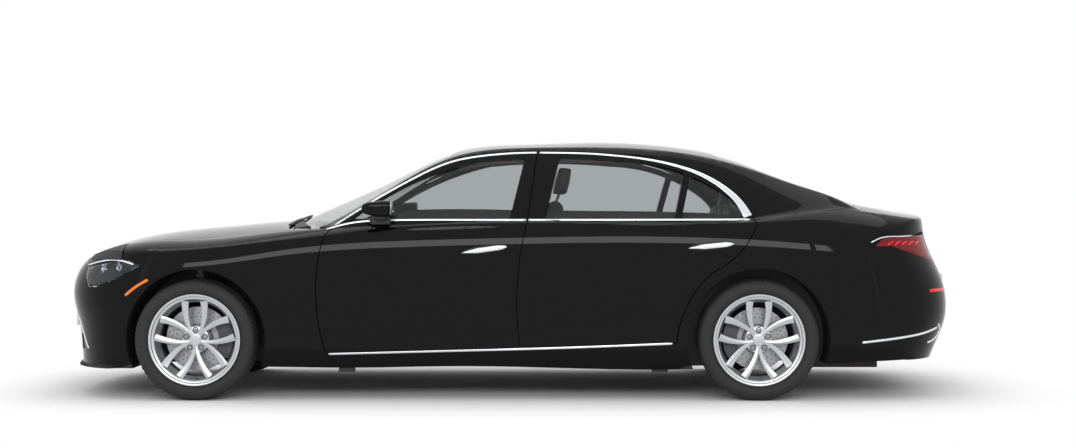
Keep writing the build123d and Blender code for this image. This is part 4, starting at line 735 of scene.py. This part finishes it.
# Radii and distances outboard of the wheel's middle plane
RIM = 0.261
SEAT = 0.241
RIM_HALF = 0.114
HUB = 0.080
CAP = 0.0355
LUG_CIRCLE = 0.056
MOUNT_FACE = 0.036
HUB_FACE = 0.070
DISC_MIDDLE = -0.022
TRACKS = {"front": 0.830, "rear": 0.844}
AXLES = {"front": FRONT, "rear": REAR}
DISCS = {"front": 0.185, "rear": 0.180}
BARREL = [
    (RIM, RIM_HALF), (RIM + .0005, RIM_HALF - .004), (RIM, RIM_HALF - .009), (SEAT, RIM_HALF - .014),
    (SEAT - .002, RIM_HALF - .044), (SEAT - .020, RIM_HALF - .070), (SEAT - .020, .060 - RIM_HALF),
    (SEAT - .002, .040 - RIM_HALF), (SEAT, .014 - RIM_HALF), (RIM, .009 - RIM_HALF), (RIM, -RIM_HALF),
    (RIM - .008, -RIM_HALF), (SEAT - .010, .018 - RIM_HALF), (SEAT - .028, .064 - RIM_HALF),
    (SEAT - .028, RIM_HALF - .068), (SEAT - .012, RIM_HALF - .042), (SEAT - .009, RIM_HALF - .016),
    (SEAT - .003, RIM_HALF - .011), (SEAT + .004, RIM_HALF - .010), (SEAT + .008, RIM_HALF - .002),
    (RIM - .008, RIM_HALF),
]
TYRE_RINGS = [
    (.2415, .0975), (.2625, .1030), (.2720, .1145), (.2830, .1225), (.2950, .1270), (.3060, .1262),
    (.3170, .1222), (.3270, .1160), (.3340, .1095), (.3395, .1020), (.3425, .0930), (.3430, .0700),
    (.3435, .0640), (.3350, .0630), (.3350, .0550), (.3438, .0540), (.3445, .0250), (.3365, .0240),
    (.3365, .0150), (.3448, .0140), (.3450, 0.0),
]
TYRE_INSIDE = [(.3190, .1030), (.3030, .1110), (.2900, .1120), (.2680, .0880), (.2415, .0800)]


TREAD_CUTS = 72
TREAD_SLANT = 9
TREAD_SHARE = 0.22
TREAD_DEPTH = 0.0055


def tread_cut(angle, out):
    """How far the tread's cross cuts dip, by the turn and the distance from the middle."""
    shoulder = (np.abs(out) > 0.066) & (np.abs(out) < 0.108)
    block = (np.abs(out) < 0.050) & (np.abs(out) > 0.026)
    wave = np.mod(angle * TREAD_CUTS / (2 * np.pi) + np.abs(out) * TREAD_SLANT, 1.0)
    return -np.where((shoulder | block) & (wave < TREAD_SHARE), TREAD_DEPTH, 0.0)


def spoke(angle, lean):
    """One spoke as rings from the hub to the rim, wider and further out toward the rim."""
    t = np.linspace(0, 1, 14)
    start, end = 0.034, SEAT - 0.014
    reach = start + (end - start) * t
    tip = np.radians(angle + lean * (3.0 + 19.5 * t ** 0.9))
    face = HUB_FACE + 0.004 + 0.030 * t ** 1.6
    width = 0.020 + 0.024 * t ** 1.3
    deep = 0.034 - 0.012 * t
    centre = np.stack([reach * np.cos(tip), 0 * t, reach * np.sin(tip)], -1)
    along = unit(np.gradient(centre, axis=0))
    across = np.stack([-along[:, 2], 0 * t, along[:, 0]], -1)
    shape = [(-.50, -.22), (-.46, -.06), (-.30, 0.0), (lean * -.10, .030), (.30, 0.0), (.46, -.06),
             (.50, -.22), (.40, -1.0), (-.40, -1.0)]
    rings = []
    for a, d in shape:
        out = face + np.where(d > 0, d * width * 3.0, d * deep)
        rings.append(centre + across * (a * width)[:, None] + np.array([0, 1, 0]) * out[:, None])
    points = np.stack(rings, axis=1).reshape(-1, 3)
    return points, tube_faces(len(t), len(shape))


def make_at(name, parts, centre, side, materials, body):
    """A piece from parts made about the origin with +Y outboard, put at its place on one side of the car."""
    points, faces, slots = merged(parts)
    if side < 0:
        faces = [f[::-1] for f in faces]
    return make(name, points * [1, side, 1] + np.asarray(centre), faces, materials, body, slots)


def disc_profile(radius):
    """A brake disc on its bell, with a slot round its edge."""
    front, back = DISC_MIDDLE + .016, DISC_MIDDLE - .016
    return [(.026, MOUNT_FACE), (HUB, MOUNT_FACE), (HUB + .002, front + .004), (HUB + .006, front),
            (radius - .002, front), (radius, front - .002), (radius, DISC_MIDDLE + .006),
            (radius - .004, DISC_MIDDLE), (radius, DISC_MIDDLE - .006), (radius, back + .002),
            (radius - .002, back), (HUB - .010, back),
            (HUB - .010, MOUNT_FACE - .010), (.026, MOUNT_FACE - .010)]


HUB_PROFILE = [(.0, MOUNT_FACE), (HUB, MOUNT_FACE), (HUB, HUB_FACE - .006), (HUB - .004, HUB_FACE),
               (HUB - .012, HUB_FACE + .003), (CAP + .004, HUB_FACE + .003), (CAP + .002, HUB_FACE + .001),
               (CAP, HUB_FACE + .004), (CAP - .002, HUB_FACE + .007), (CAP - .010, HUB_FACE + .0085),
               (.0, HUB_FACE + .009)]
# Painted shade: a dark satin cup round each wheel bolt stands for the shaded recess in the hub
BOLT_RECESS_SHADE_PROFILE = [(.0115, .0), (.0145, .0035), (.0170, .0035), (.0175, .0), (.0170, -.004), (.0, -.004),
               (.0, -.0025), (.0115, -.0025)]
BOLT_PROFILE = [(.0, -.003), (.0098, -.003), (.0098, .0035), (.0080, .0055), (.0050, .0055), (.0045, .0030),
                (.0, .0030)]
STUB = 0.024
STUB_PROFILE = [(.0, MOUNT_FACE - .012), (STUB, MOUNT_FACE - .012), (STUB, -.123), (STUB - .002, -.124),
                (.0, -.124)]
VALVE_PROFILE = [(.0, .0), (.0032, .0), (.0032, .016), (.0026, .022), (.0, .022)]
# Painted shade: a flat dark spot on the disc's face stands for each drilled hole, and no hole is cut
HOLE_SHADE_PROFILE = [(.0, -.001), (.0038, -.001), (.0036, .0004), (.0, .0004)]
HOLES = 30


def wheel(row, side_name):
    """A wheel with its hub, nuts, valve, drilled disc and stub, and its tyre; the disc's holes are painted
    shade, as flat dark spots on its face.
    """
    side = SIDES[side_name]
    corner = row + "_" + side_name
    centre = (AXLES[row], side * TRACKS[row], WHEEL_RADIUS)
    origin = (0, 0, 0)
    metal = [(*lathe(BARREL, origin, 128), 0), (*lathe(HUB_PROFILE, origin, 64), 0)]
    for pair in range(5):
        for lean in (-1, 1):
            metal.append((*spoke(54 + 72 * pair, lean), 0))
        turn = math.radians(90 + 72 * pair)
        lug = (LUG_CIRCLE * math.cos(turn), HUB_FACE + .003, LUG_CIRCLE * math.sin(turn))
        # The bolt's recess is painted shade, a dark satin cup on the hub face
        metal.append((*lathe(BOLT_RECESS_SHADE_PROFILE, lug, 24), 2))
        metal.append((*lathe(BOLT_PROFILE, lug, 6), 1))
    metal.append((*lathe(VALVE_PROFILE, (0.008, RIM_HALF - .045, -SEAT + .022), 10), 2))
    disc = DISCS[row]
    metal.append((*lathe(disc_profile(disc), origin, 96), 3))
    # Each drilled hole is painted shade, a thin dark satin disc laid on the rotor's face
    for ring, shift in ((disc - .014, 0), (disc - .036, .5), (disc - .058, 0)):
        for i in range(HOLES):
            turn = 2 * math.pi * (i + shift) / HOLES
            hole_shade = (ring * math.cos(turn), DISC_MIDDLE + .0162, ring * math.sin(turn))
            metal.append((*lathe(HOLE_SHADE_PROFILE, hole_shade, 8), 2))
    metal.append((*lathe(STUB_PROFILE, origin, 32), 1))
    piece = make_at("wheel_" + corner + "_alloy", metal, centre, side, [ALLOY, STEEL, SATIN, ROTOR],
                    "wheel_" + corner)
    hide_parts("wheel_" + corner)
    soften(piece)
    outline = TYRE_RINGS + [(r, -w) for r, w in TYRE_RINGS[-2::-1]]
    outline += [(r, -w) for r, w in TYRE_INSIDE[::-1]] + TYRE_INSIDE
    tyre = [(*lathe(outline, origin, 288, tread_cut), 0)]
    piece = make_at("tyre_" + corner + "_tread", tyre, centre, side, [RUBBER], "wheel_" + corner)
    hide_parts("tyre_" + corner)
    soften(piece, 40)


for row in TRACKS:
    for side_name in SIDES:
        wheel(row, side_name)


# Lamps: a cover over a dark tray, with two modules in each headlamp

def cover(node, name, finish):
    """A lamp's outer skin as a thin shell, with its points, directions, faces and rim for the tray."""
    points, tris = node_mesh(node)
    tags = skin_faces(points, tris, 0.0, 1).astype(int)
    shell_points, shell, _ = refine(points, tris[tags > 0], np.ones(int(tags.sum()), int), SKIN_EDGE)
    used, place = np.unique(shell.reshape(-1), return_inverse=True)
    p = drawn(shell_points[used])
    shell = place.reshape(-1, 3)
    n = normals(p)
    count = len(p)
    order = shell[:, [0, 1, 1, 2, 2, 0]].reshape(-1, 2)
    edges = np.sort(order, axis=1)
    _, first, times = np.unique(edges, axis=0, return_index=True, return_counts=True)
    rim = order[first[times == 1]]
    layers = np.vstack([p, p - n * 0.003])
    faces = [tuple(f) for f in shell] + [tuple(f[::-1] + count) for f in shell]
    faces += [(b, a, a + count, b + count) for a, b in rim]
    piece = make(name, layers, faces, [finish], body_of(node))
    return piece, p, n, shell, rim


def housing(name, p, n, shell, rim, depth):
    """A dark tray under a lamp's cover, from a little under it down to its floor."""
    count = len(p)
    layers = np.vstack([p - n * 0.004, p - n * depth, p - n * (depth + 0.01)])
    faces = [(a, b, b + count, a + count) for a, b in rim]
    faces += [(b, a, a + 2 * count, b + 2 * count) for a, b in rim]
    faces += [tuple(f + count) for f in shell] + [tuple(f[::-1] + 2 * count) for f in shell]
    return make(name, layers, faces, [SATIN], "root")


lens, p, n, shell, rim = cover("headlamps", "headlamp_covers", LENS)
tray = housing("headlamp_trays", p, n, shell, rim, 0.045)
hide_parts("headlamps")
lens, p, n, shell, rim = cover("tail_lamps", "tail_lamp_covers", RED_LENS)
tray = housing("tail_lamp_trays", p, n, shell, rim, 0.025)
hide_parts("tail_lamps")


def projector(centre, axis, radius, name):
    """A projector module: a bright ring round a clear bulging lens."""
    ring = [(radius, -.010), (radius, .004), (radius - .003, .007), (radius - .006, .004),
            (radius - .008, -.006), (radius - .006, -.010)]
    bulb = [(.0, -.006), (radius - .007, -.006), (radius - .009, .002), (radius * .55, .011), (.0, .015)]
    points, faces, slots = merged([(*lathe(ring, (0, 0, 0), 40), 0), (*lathe(bulb, (0, 0, 0), 40), 1)])
    piece = make(name, points @ facing(axis) + centre, faces, [REFLECTOR, LENS], "root", slots)
    soften(piece)


MODULES = [(-2.345, 0.757), (-2.235, 0.764)]
for side_name, side in SIDES.items():
    centres, outs = on_side(MODULES, side)
    for i, (centre, out) in enumerate(zip(centres, outs)):
        projector(centre - out * 0.032, (out[0] - 0.5, out[1], out[2]), 0.026, f"projector_{side_name}_{i}")


# Mirrors, with a glass on the rear face, on their arms

def egg(centre, half, power, rings=18, around=28, squash=None):
    """A rounded closed form from a superellipse, facing along Y."""
    points, faces = [], []
    v = np.linspace(-np.pi / 2, np.pi / 2, rings)
    u = np.linspace(0, 2 * np.pi, around, endpoint=False)

    def bent(value, exponent):
        return np.sign(value) * np.abs(value) ** exponent

    for a in v:
        radius = bent(math.cos(a), power) if abs(abs(a) - np.pi / 2) > 1e-6 else 0.02
        x = half[0] * radius * bent(np.cos(u), power)
        z = half[2] * radius * bent(np.sin(u), power)
        y = np.full(around, half[1] * bent(math.sin(a), power))
        points.append(np.stack([x, y, z], -1))
    points = np.vstack(points)
    if squash is not None:
        points = squash(points)
    return points + np.asarray(centre), tube_faces(rings, around)


MIRROR_X = FRONT + 1.050


def mirror_shape(p):
    """The housing's front is rounder than its flat back, and it narrows outward."""
    t = np.clip((p[:, 0] + 0.093) / 0.186, 0, 1)
    outward = np.clip((p[:, 1] + 0.066) / 0.132, 0, 1)
    scale = 0.55 + 0.45 * np.sqrt(t)
    p = p.copy()
    p[:, 2] *= scale * (0.86 + 0.14 * outward)
    p[:, 1] *= 0.8 + 0.2 * t
    p[:, 0] = np.minimum(p[:, 0], 0.075)
    return p


for side_name, side in SIDES.items():
    centre = (MIRROR_X, side * 0.988, 1.094)
    shell = egg((0, 0, 0), (0.093, 0.066, 0.052), 0.55, squash=mirror_shape)
    glass = egg((0.076, 0, 0), (0.003, 0.052, 0.040), 0.45)
    arm = egg((0.010, -0.085, -0.052), (0.040, 0.085, 0.014), 0.45)
    foot = egg((0.005, -0.118, -0.074), (0.062, 0.035, 0.020), 0.4)
    parts = [(*shell, 0), (*glass, 1), (*arm, 2), (*foot, 2)]
    piece = make_at("mirror_" + side_name + "_housing", parts, centre, side, [PAINT, REFLECTOR, PLASTIC],
                    "door_front_" + side_name)
    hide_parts("mirror_" + side_name)


# Wipers, plates and the bumpers' small pieces

for i, (start, end) in enumerate((((FRONT + 0.500, -0.62), (FRONT + 0.540, 0.02)),
                                  ((FRONT + 0.500, -0.02), (FRONT + 0.560, 0.58)))):
    line = smooth_line([start, ((start[0] + end[0]) / 2 - 0.012, (start[1] + end[1]) / 2), end], 0.03)
    path, out = on_top(line)
    strip(f"wiper_{i}", path + out * 0.004, out, 0.022, 0.012, PLASTIC, "root", sink=0.0)
for side_name, side in SIDES.items():
    path, out = on_top([(FRONT + x, side * 0.781) for x in (0.694, 0.740, 0.786, 0.832)])
    strip("scuttle_corner_" + side_name, path, out, 0.032, 0.001, PLASTIC, "root", sink=0.012)
PLATE_HALF = 0.26
PLATE_HEIGHT = 0.112
for name, end, z in (("front_plate", -1, 0.440), ("rear_plate", 1, 0.640)):
    rises = (-PLATE_HEIGHT / 2, 0, PLATE_HEIGHT / 2)
    grid = [(y, z + rise) for y in (-PLATE_HALF, 0, PLATE_HALF) for rise in rises]
    behind, _ = on_end(grid, end)
    face_x = end * (end * behind[:, 0]).max() + end * 0.002
    y = np.linspace(-PLATE_HALF, PLATE_HALF, 3)
    path = np.stack([np.full(3, face_x), y, np.full(3, z)], -1)
    out = np.broadcast_to([float(end), 0.0, 0.0], path.shape)
    strip(name, path, out, PLATE_HEIGHT, 0.001, PLATE, "root", sink=0.020)
SENSOR = [(.0, -.004), (.0095, -.004), (.0100, .0004), (.0085, .0012), (.0, .0016)]
for i, y in enumerate((-0.42, -0.14, 0.14, 0.42)):
    for name, end, z in (("front", -1, 0.600 if abs(y) > 0.4 else 0.480), ("rear", 1, 0.500)):
        at, out = on_end([(y, z)], end)
        points, faces = lathe(SENSOR, (0, 0, 0), 24)
        make(f"sensor_{name}_{i}", points @ facing(out[0]) + at[0], faces, [GLOSS_TRIM], "root")


# The cabin: padded seats, a padded dashboard and a rimmed steering wheel

def pillow(profile, y_from, y_to, flutes, crown=0.012, side_pull=0.20, stations=41):
    """A stuffed form: a smooth side profile carried across, pulled in at its ends and channelled along."""
    line = np.vstack([profile, profile[:1]])
    ring = smooth_closed(line, 44)
    middle = ring.mean(axis=0)
    t = np.linspace(-1, 1, stations)
    points = []
    for s in t:
        pull = 1 - side_pull * np.abs(s) ** 7
        y = (y_from + y_to) / 2 + (y_to - y_from) / 2 * s
        channel = 0.5 - 0.5 * math.cos(2 * math.pi * (s + 1) / 2 * flutes)
        swell = crown * (1 - s * s) - 0.006 * (1 - channel) ** 6 * (abs(s) < 0.78)
        out = unit(ring - middle)
        shape = middle + (ring - middle) * pull + out * swell
        points.append(np.stack([shape[:, 0], np.full(len(shape), y), shape[:, 1]], -1))
    return np.vstack(points), tube_faces(stations, 44)


def smooth_closed(line, count):
    """Even points round a closed outline with gently rounded corners."""
    line = np.asarray(line, float)
    run = np.concatenate([[0], np.cumsum(np.linalg.norm(np.diff(line, axis=0), axis=1))])
    even = np.linspace(0, run[-1], count * 4, endpoint=False)
    dense = np.stack([np.interp(even, run, line[:, k]) for k in (0, 1)], -1)
    for _ in range(26):
        dense = (np.roll(dense, 1, 0) + 2 * dense + np.roll(dense, -1, 0)) / 4
    return dense[::4]


SEAT_Y = 0.372
SEAT_HALF = 0.248
POST = 0.007
X = FIREWALL + 0.920
for name, y in (("left", -SEAT_Y), ("right", SEAT_Y)):
    a, b = y - SEAT_HALF + .004, y + SEAT_HALF - .004
    cushion = pillow([(X - .005, .468), (X + .535, .440), (X + .590, .545), (X + .060, .590),
                      (X - .008, .555)], a, b, 6, 0.010)
    back = pillow([(X + .485, .480), (X + .600, .455), (X + .755, 1.100), (X + .700, 1.145),
                   (X + .628, 1.100)], a + .012, b - .012, 6, 0.010)
    head = pillow([(X + .690, 1.195), (X + .765, 1.190), (X + .792, 1.325), (X + .725, 1.332)],
                  y - .125, y + .125, 1, 0.008, 0.25, 21)
    posts = []
    for lean in (-.05, .05):
        path = np.array([[X + .690, y + lean, 1.10], [X + .712, y + lean, 1.15], [X + .735, y + lean, 1.21]])
        angles = np.linspace(0, 2 * np.pi, 10, endpoint=False)
        ring = [(POST * math.cos(q), POST * math.sin(q)) for q in angles]
        rows = np.vstack([[p + [u, v, 0] for u, v in ring] for p in path])
        posts.append((rows, tube_faces(3, 10), 1))
    rails = []
    for rail in (a + .056, b - .086):
        shape = [(X + .040, .300), (X + .520, .300), (X + .520, .318), (X + .500, .330), (X + .480, .470),
                 (X + .080, .470), (X + .060, .330), (X + .040, .318)]
        rows = np.vstack([[(u, yy, v) for u, v in shape] for yy in (rail, rail + .03)])
        rails.append((rows, tube_faces(2, len(shape)), 1))
    points, faces, slots = merged([(*cushion, 0), (*back, 0), (*head, 0), *posts, *rails])
    piece = make("front_seat_" + name, points, faces, [LEATHER, STEEL], "root", slots)
    if name == "left":
        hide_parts("front_seats")

BENCH_HALF = 0.655
X = REAR - 0.680 - 0.020
bench = []
for a, b in ((-BENCH_HALF + .004, -.135), (-.129, .129), (.135, BENCH_HALF - .004)):
    flutes = 6 if b - a > .3 else 3
    bench.append((*pillow([(X + .025, .440), (X + .440, .440), (X + .495, .500), (X + .550, .590),
                           (X + .025, .608), (X - .010, .555)], a, b, flutes, 0.010), 0))
    bench.append((*pillow([(X + .478, .530), (X + .595, .570), (X + .646, .965), (X + .632, 1.118),
                           (X + .570, 1.108)], a, b, flutes, 0.010), 0))
for y in (-SEAT_Y, SEAT_Y):
    bench.append((*pillow([(X + .600, 1.112), (X + .652, 1.112), (X + .682, 1.255), (X + .628, 1.262)],
                          y - .12, y + .12, 1, 0.006, 0.25, 21), 0))
points, faces, slots = merged(bench)
piece = make("rear_bench", points, faces, [LEATHER], "root", slots)
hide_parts("rear_seat")

for node in ("dashboard", "centre_console"):
    points, tris = node_mesh(node)
    piece = make(node + "_padded", points, tris, [LEATHER], "root")
    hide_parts(node)
    with bpy.context.temp_override(object=piece, active_object=piece, selected_objects=[piece]):
        edge = piece.modifiers.new("rounded", "BEVEL")
        edge.width = 0.012
        edge.segments = 3
        edge.angle_limit = math.radians(40)
        bpy.ops.object.modifier_apply(modifier=edge.name)
    soften(piece, 40)

STEER = (FIREWALL + 0.640, -SEAT_Y, 0.905)
COLUMN = math.radians(24)
STEER_RADIUS = 0.188
rim_ring = [(STEER_RADIUS + .0145 * math.cos(q), .0145 * math.sin(q) * 1.1)
            for q in np.linspace(0, 2 * np.pi, 14, endpoint=False)]
pad = [(.0, -.030), (.060, -.030), (.072, -.020), (.072, .0), (.064, .012), (.030, .020), (.0, .021)]
wheel_parts = [(*lathe(rim_ring, (0, 0, 0), 96), 0), (*lathe(pad, (0, 0, 0), 48), 0)]
for start, end, half in (((-.066, 0), (-.178, .012), .020), ((.066, 0), (.178, .012), .020),
                         ((0, -.066), (0, -.178), .022)):
    t = np.linspace(0, 1, 8)[:, None]
    path = np.asarray(start) * (1 - t) + np.asarray(end) * t
    along = unit(path[-1] - path[0])
    across = np.array([-along[1], along[0]])
    rows = []
    for k, p in enumerate(path):
        wide = half * (1.15 - 0.35 * math.sin(np.pi * k / 7))
        for a, d in ((-1, -.004), (-.8, .002), (0, .005), (.8, .002), (1, -.004), (.8, -.009), (-.8, -.009)):
            q = p + across * a * wide
            rows.append((q[0], d, q[1]))
    wheel_parts.append((np.array(rows), tube_faces(8, 7), 1))
points, faces, slots = merged(wheel_parts)
axis = Vector((math.cos(COLUMN), 0, math.sin(COLUMN)))
basis = Matrix((Vector((0, 1, 0)), axis, Vector((-math.sin(COLUMN), 0, math.cos(COLUMN))))).transposed()
points = points @ np.array(basis).T + np.array(STEER)
piece = make("steering_wheel_rim", points, faces, [LEATHER, GLOSS_TRIM], "steering_wheel", slots)
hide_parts("steering_wheel")
soften(piece, 50)
shroud = [(.0, -.210), (.064, -.210), (.056, -.080), (.046, -.040), (.038, -.036), (.0, -.036)]
points, faces = lathe(shroud, (0, 0, 0), 40)
piece = make("column_shroud", points @ np.array(basis).T + np.array(STEER), faces, [PLASTIC], "root")
soften(piece, 40)


# The stage: pale floor, white surroundings and soft light

def seen_ray(tree):
    """1 for the rays that show a surface as it is: seen, mirrored or through glass."""
    path = shader_node(tree, "LightPath")
    level = path.outputs["Is Camera Ray"]
    for ray in ("Is Glossy Ray", "Is Transmission Ray"):
        most = shader_node(tree, "Math", "MAXIMUM")
        tree.links.new(level, most.inputs[0])
        tree.links.new(path.outputs[ray], most.inputs[1])
        level = most.outputs[0]
    return level


def pale_floor():
    """A wide pale sheet that takes the car's shadow and runs out into the white background."""
    mat = bpy.data.materials.new("pale_floor")
    mat.use_nodes = True
    tree = mat.node_tree
    link = tree.links.new
    shader = tree.nodes["Principled BSDF"]
    set_sockets(shader, {"Base Color": (0.97, 0.97, 0.97, 1), "Roughness": 0.9, "Specular IOR Level": 0.0})
    reach = shader_node(tree, "VectorMath", "LENGTH")
    link(shader_node(tree, "TexCoord").outputs["Object"], reach.inputs[0])
    far = shader_node(tree, "MapRange", From_Min=2.7, From_Max=3.5)
    far.interpolation_type = "SMOOTHSTEP"
    link(reach.outputs["Value"], far.inputs["Value"])
    chosen = shader_node(tree, "Math", "MULTIPLY")
    link(far.outputs["Result"], chosen.inputs[0])
    link(seen_ray(tree), chosen.inputs[1])
    blend = shader_node(tree, "MixShader")
    link(chosen.outputs[0], blend.inputs["Fac"])
    link(shader.outputs["BSDF"], blend.inputs[1])
    link(shader_node(tree, "Emission").outputs["Emission"], blend.inputs[2])
    link(blend.outputs["Shader"], tree.nodes["Material Output"].inputs["Surface"])
    mesh = bpy.data.meshes.new("floor_sheet")
    bm = bmesh.new()
    bmesh.ops.create_circle(bm, cap_ends=True, segments=96, radius=60)
    bm.to_mesh(mesh)
    bm.free()
    mesh.materials.append(mat)
    floor = bpy.data.objects.new("floor_sheet", mesh)
    floor.location = (0, 0, -0.0005)
    bpy.context.scene.collection.objects.link(floor)


pale_floor()
world = bpy.data.worlds.new("studio")
bpy.context.scene.world = world
world.use_nodes = True
tree = world.node_tree
background = tree.nodes["Background"]
background.inputs["Color"].default_value = (1, 1, 1, 1)
level = shader_node(tree, "MapRange", To_Min=0.75, To_Max=1.0)
tree.links.new(seen_ray(tree), level.inputs["Value"])
tree.links.new(level.outputs["Result"], background.inputs["Strength"])


def soft_light(name, place, target, size, power):
    """A large lamp that the camera doesn't see."""
    data = bpy.data.lights.new(name, "AREA")
    data.shape = "RECTANGLE"
    data.size, data.size_y = size
    data.energy = power
    lamp = bpy.data.objects.new(name, data)
    lamp.location = place
    lamp.rotation_euler = (Vector(target) - Vector(place)).to_track_quat("-Z", "Y").to_euler()
    lamp.visible_camera = False
    bpy.context.scene.collection.objects.link(lamp)


soft_light("overhead", (0, 0.5, 6.5), (0, 0, 0), (9, 4), 160)
soft_light("near_side", (-0.3, -9.2, 3.45), (-0.3, 0, 0.9), (9, 1.75), 290)

camera_data = bpy.data.cameras.new("camera")
camera_data.sensor_width = 36
camera_data.lens = 56.19
camera_data.shift_x = -7 / 1076
camera_data.shift_y = -16 / 1076
camera_data.clip_end = 200
camera = bpy.data.objects.new("camera", camera_data)
camera.location = (0.2215, -10.5, 1.097)
camera.rotation_euler = (math.radians(90), 0, 0)
bpy.context.scene.collection.objects.link(camera)
bpy.context.scene.camera = camera
bpy.context.scene.view_settings.view_transform = "Standard"
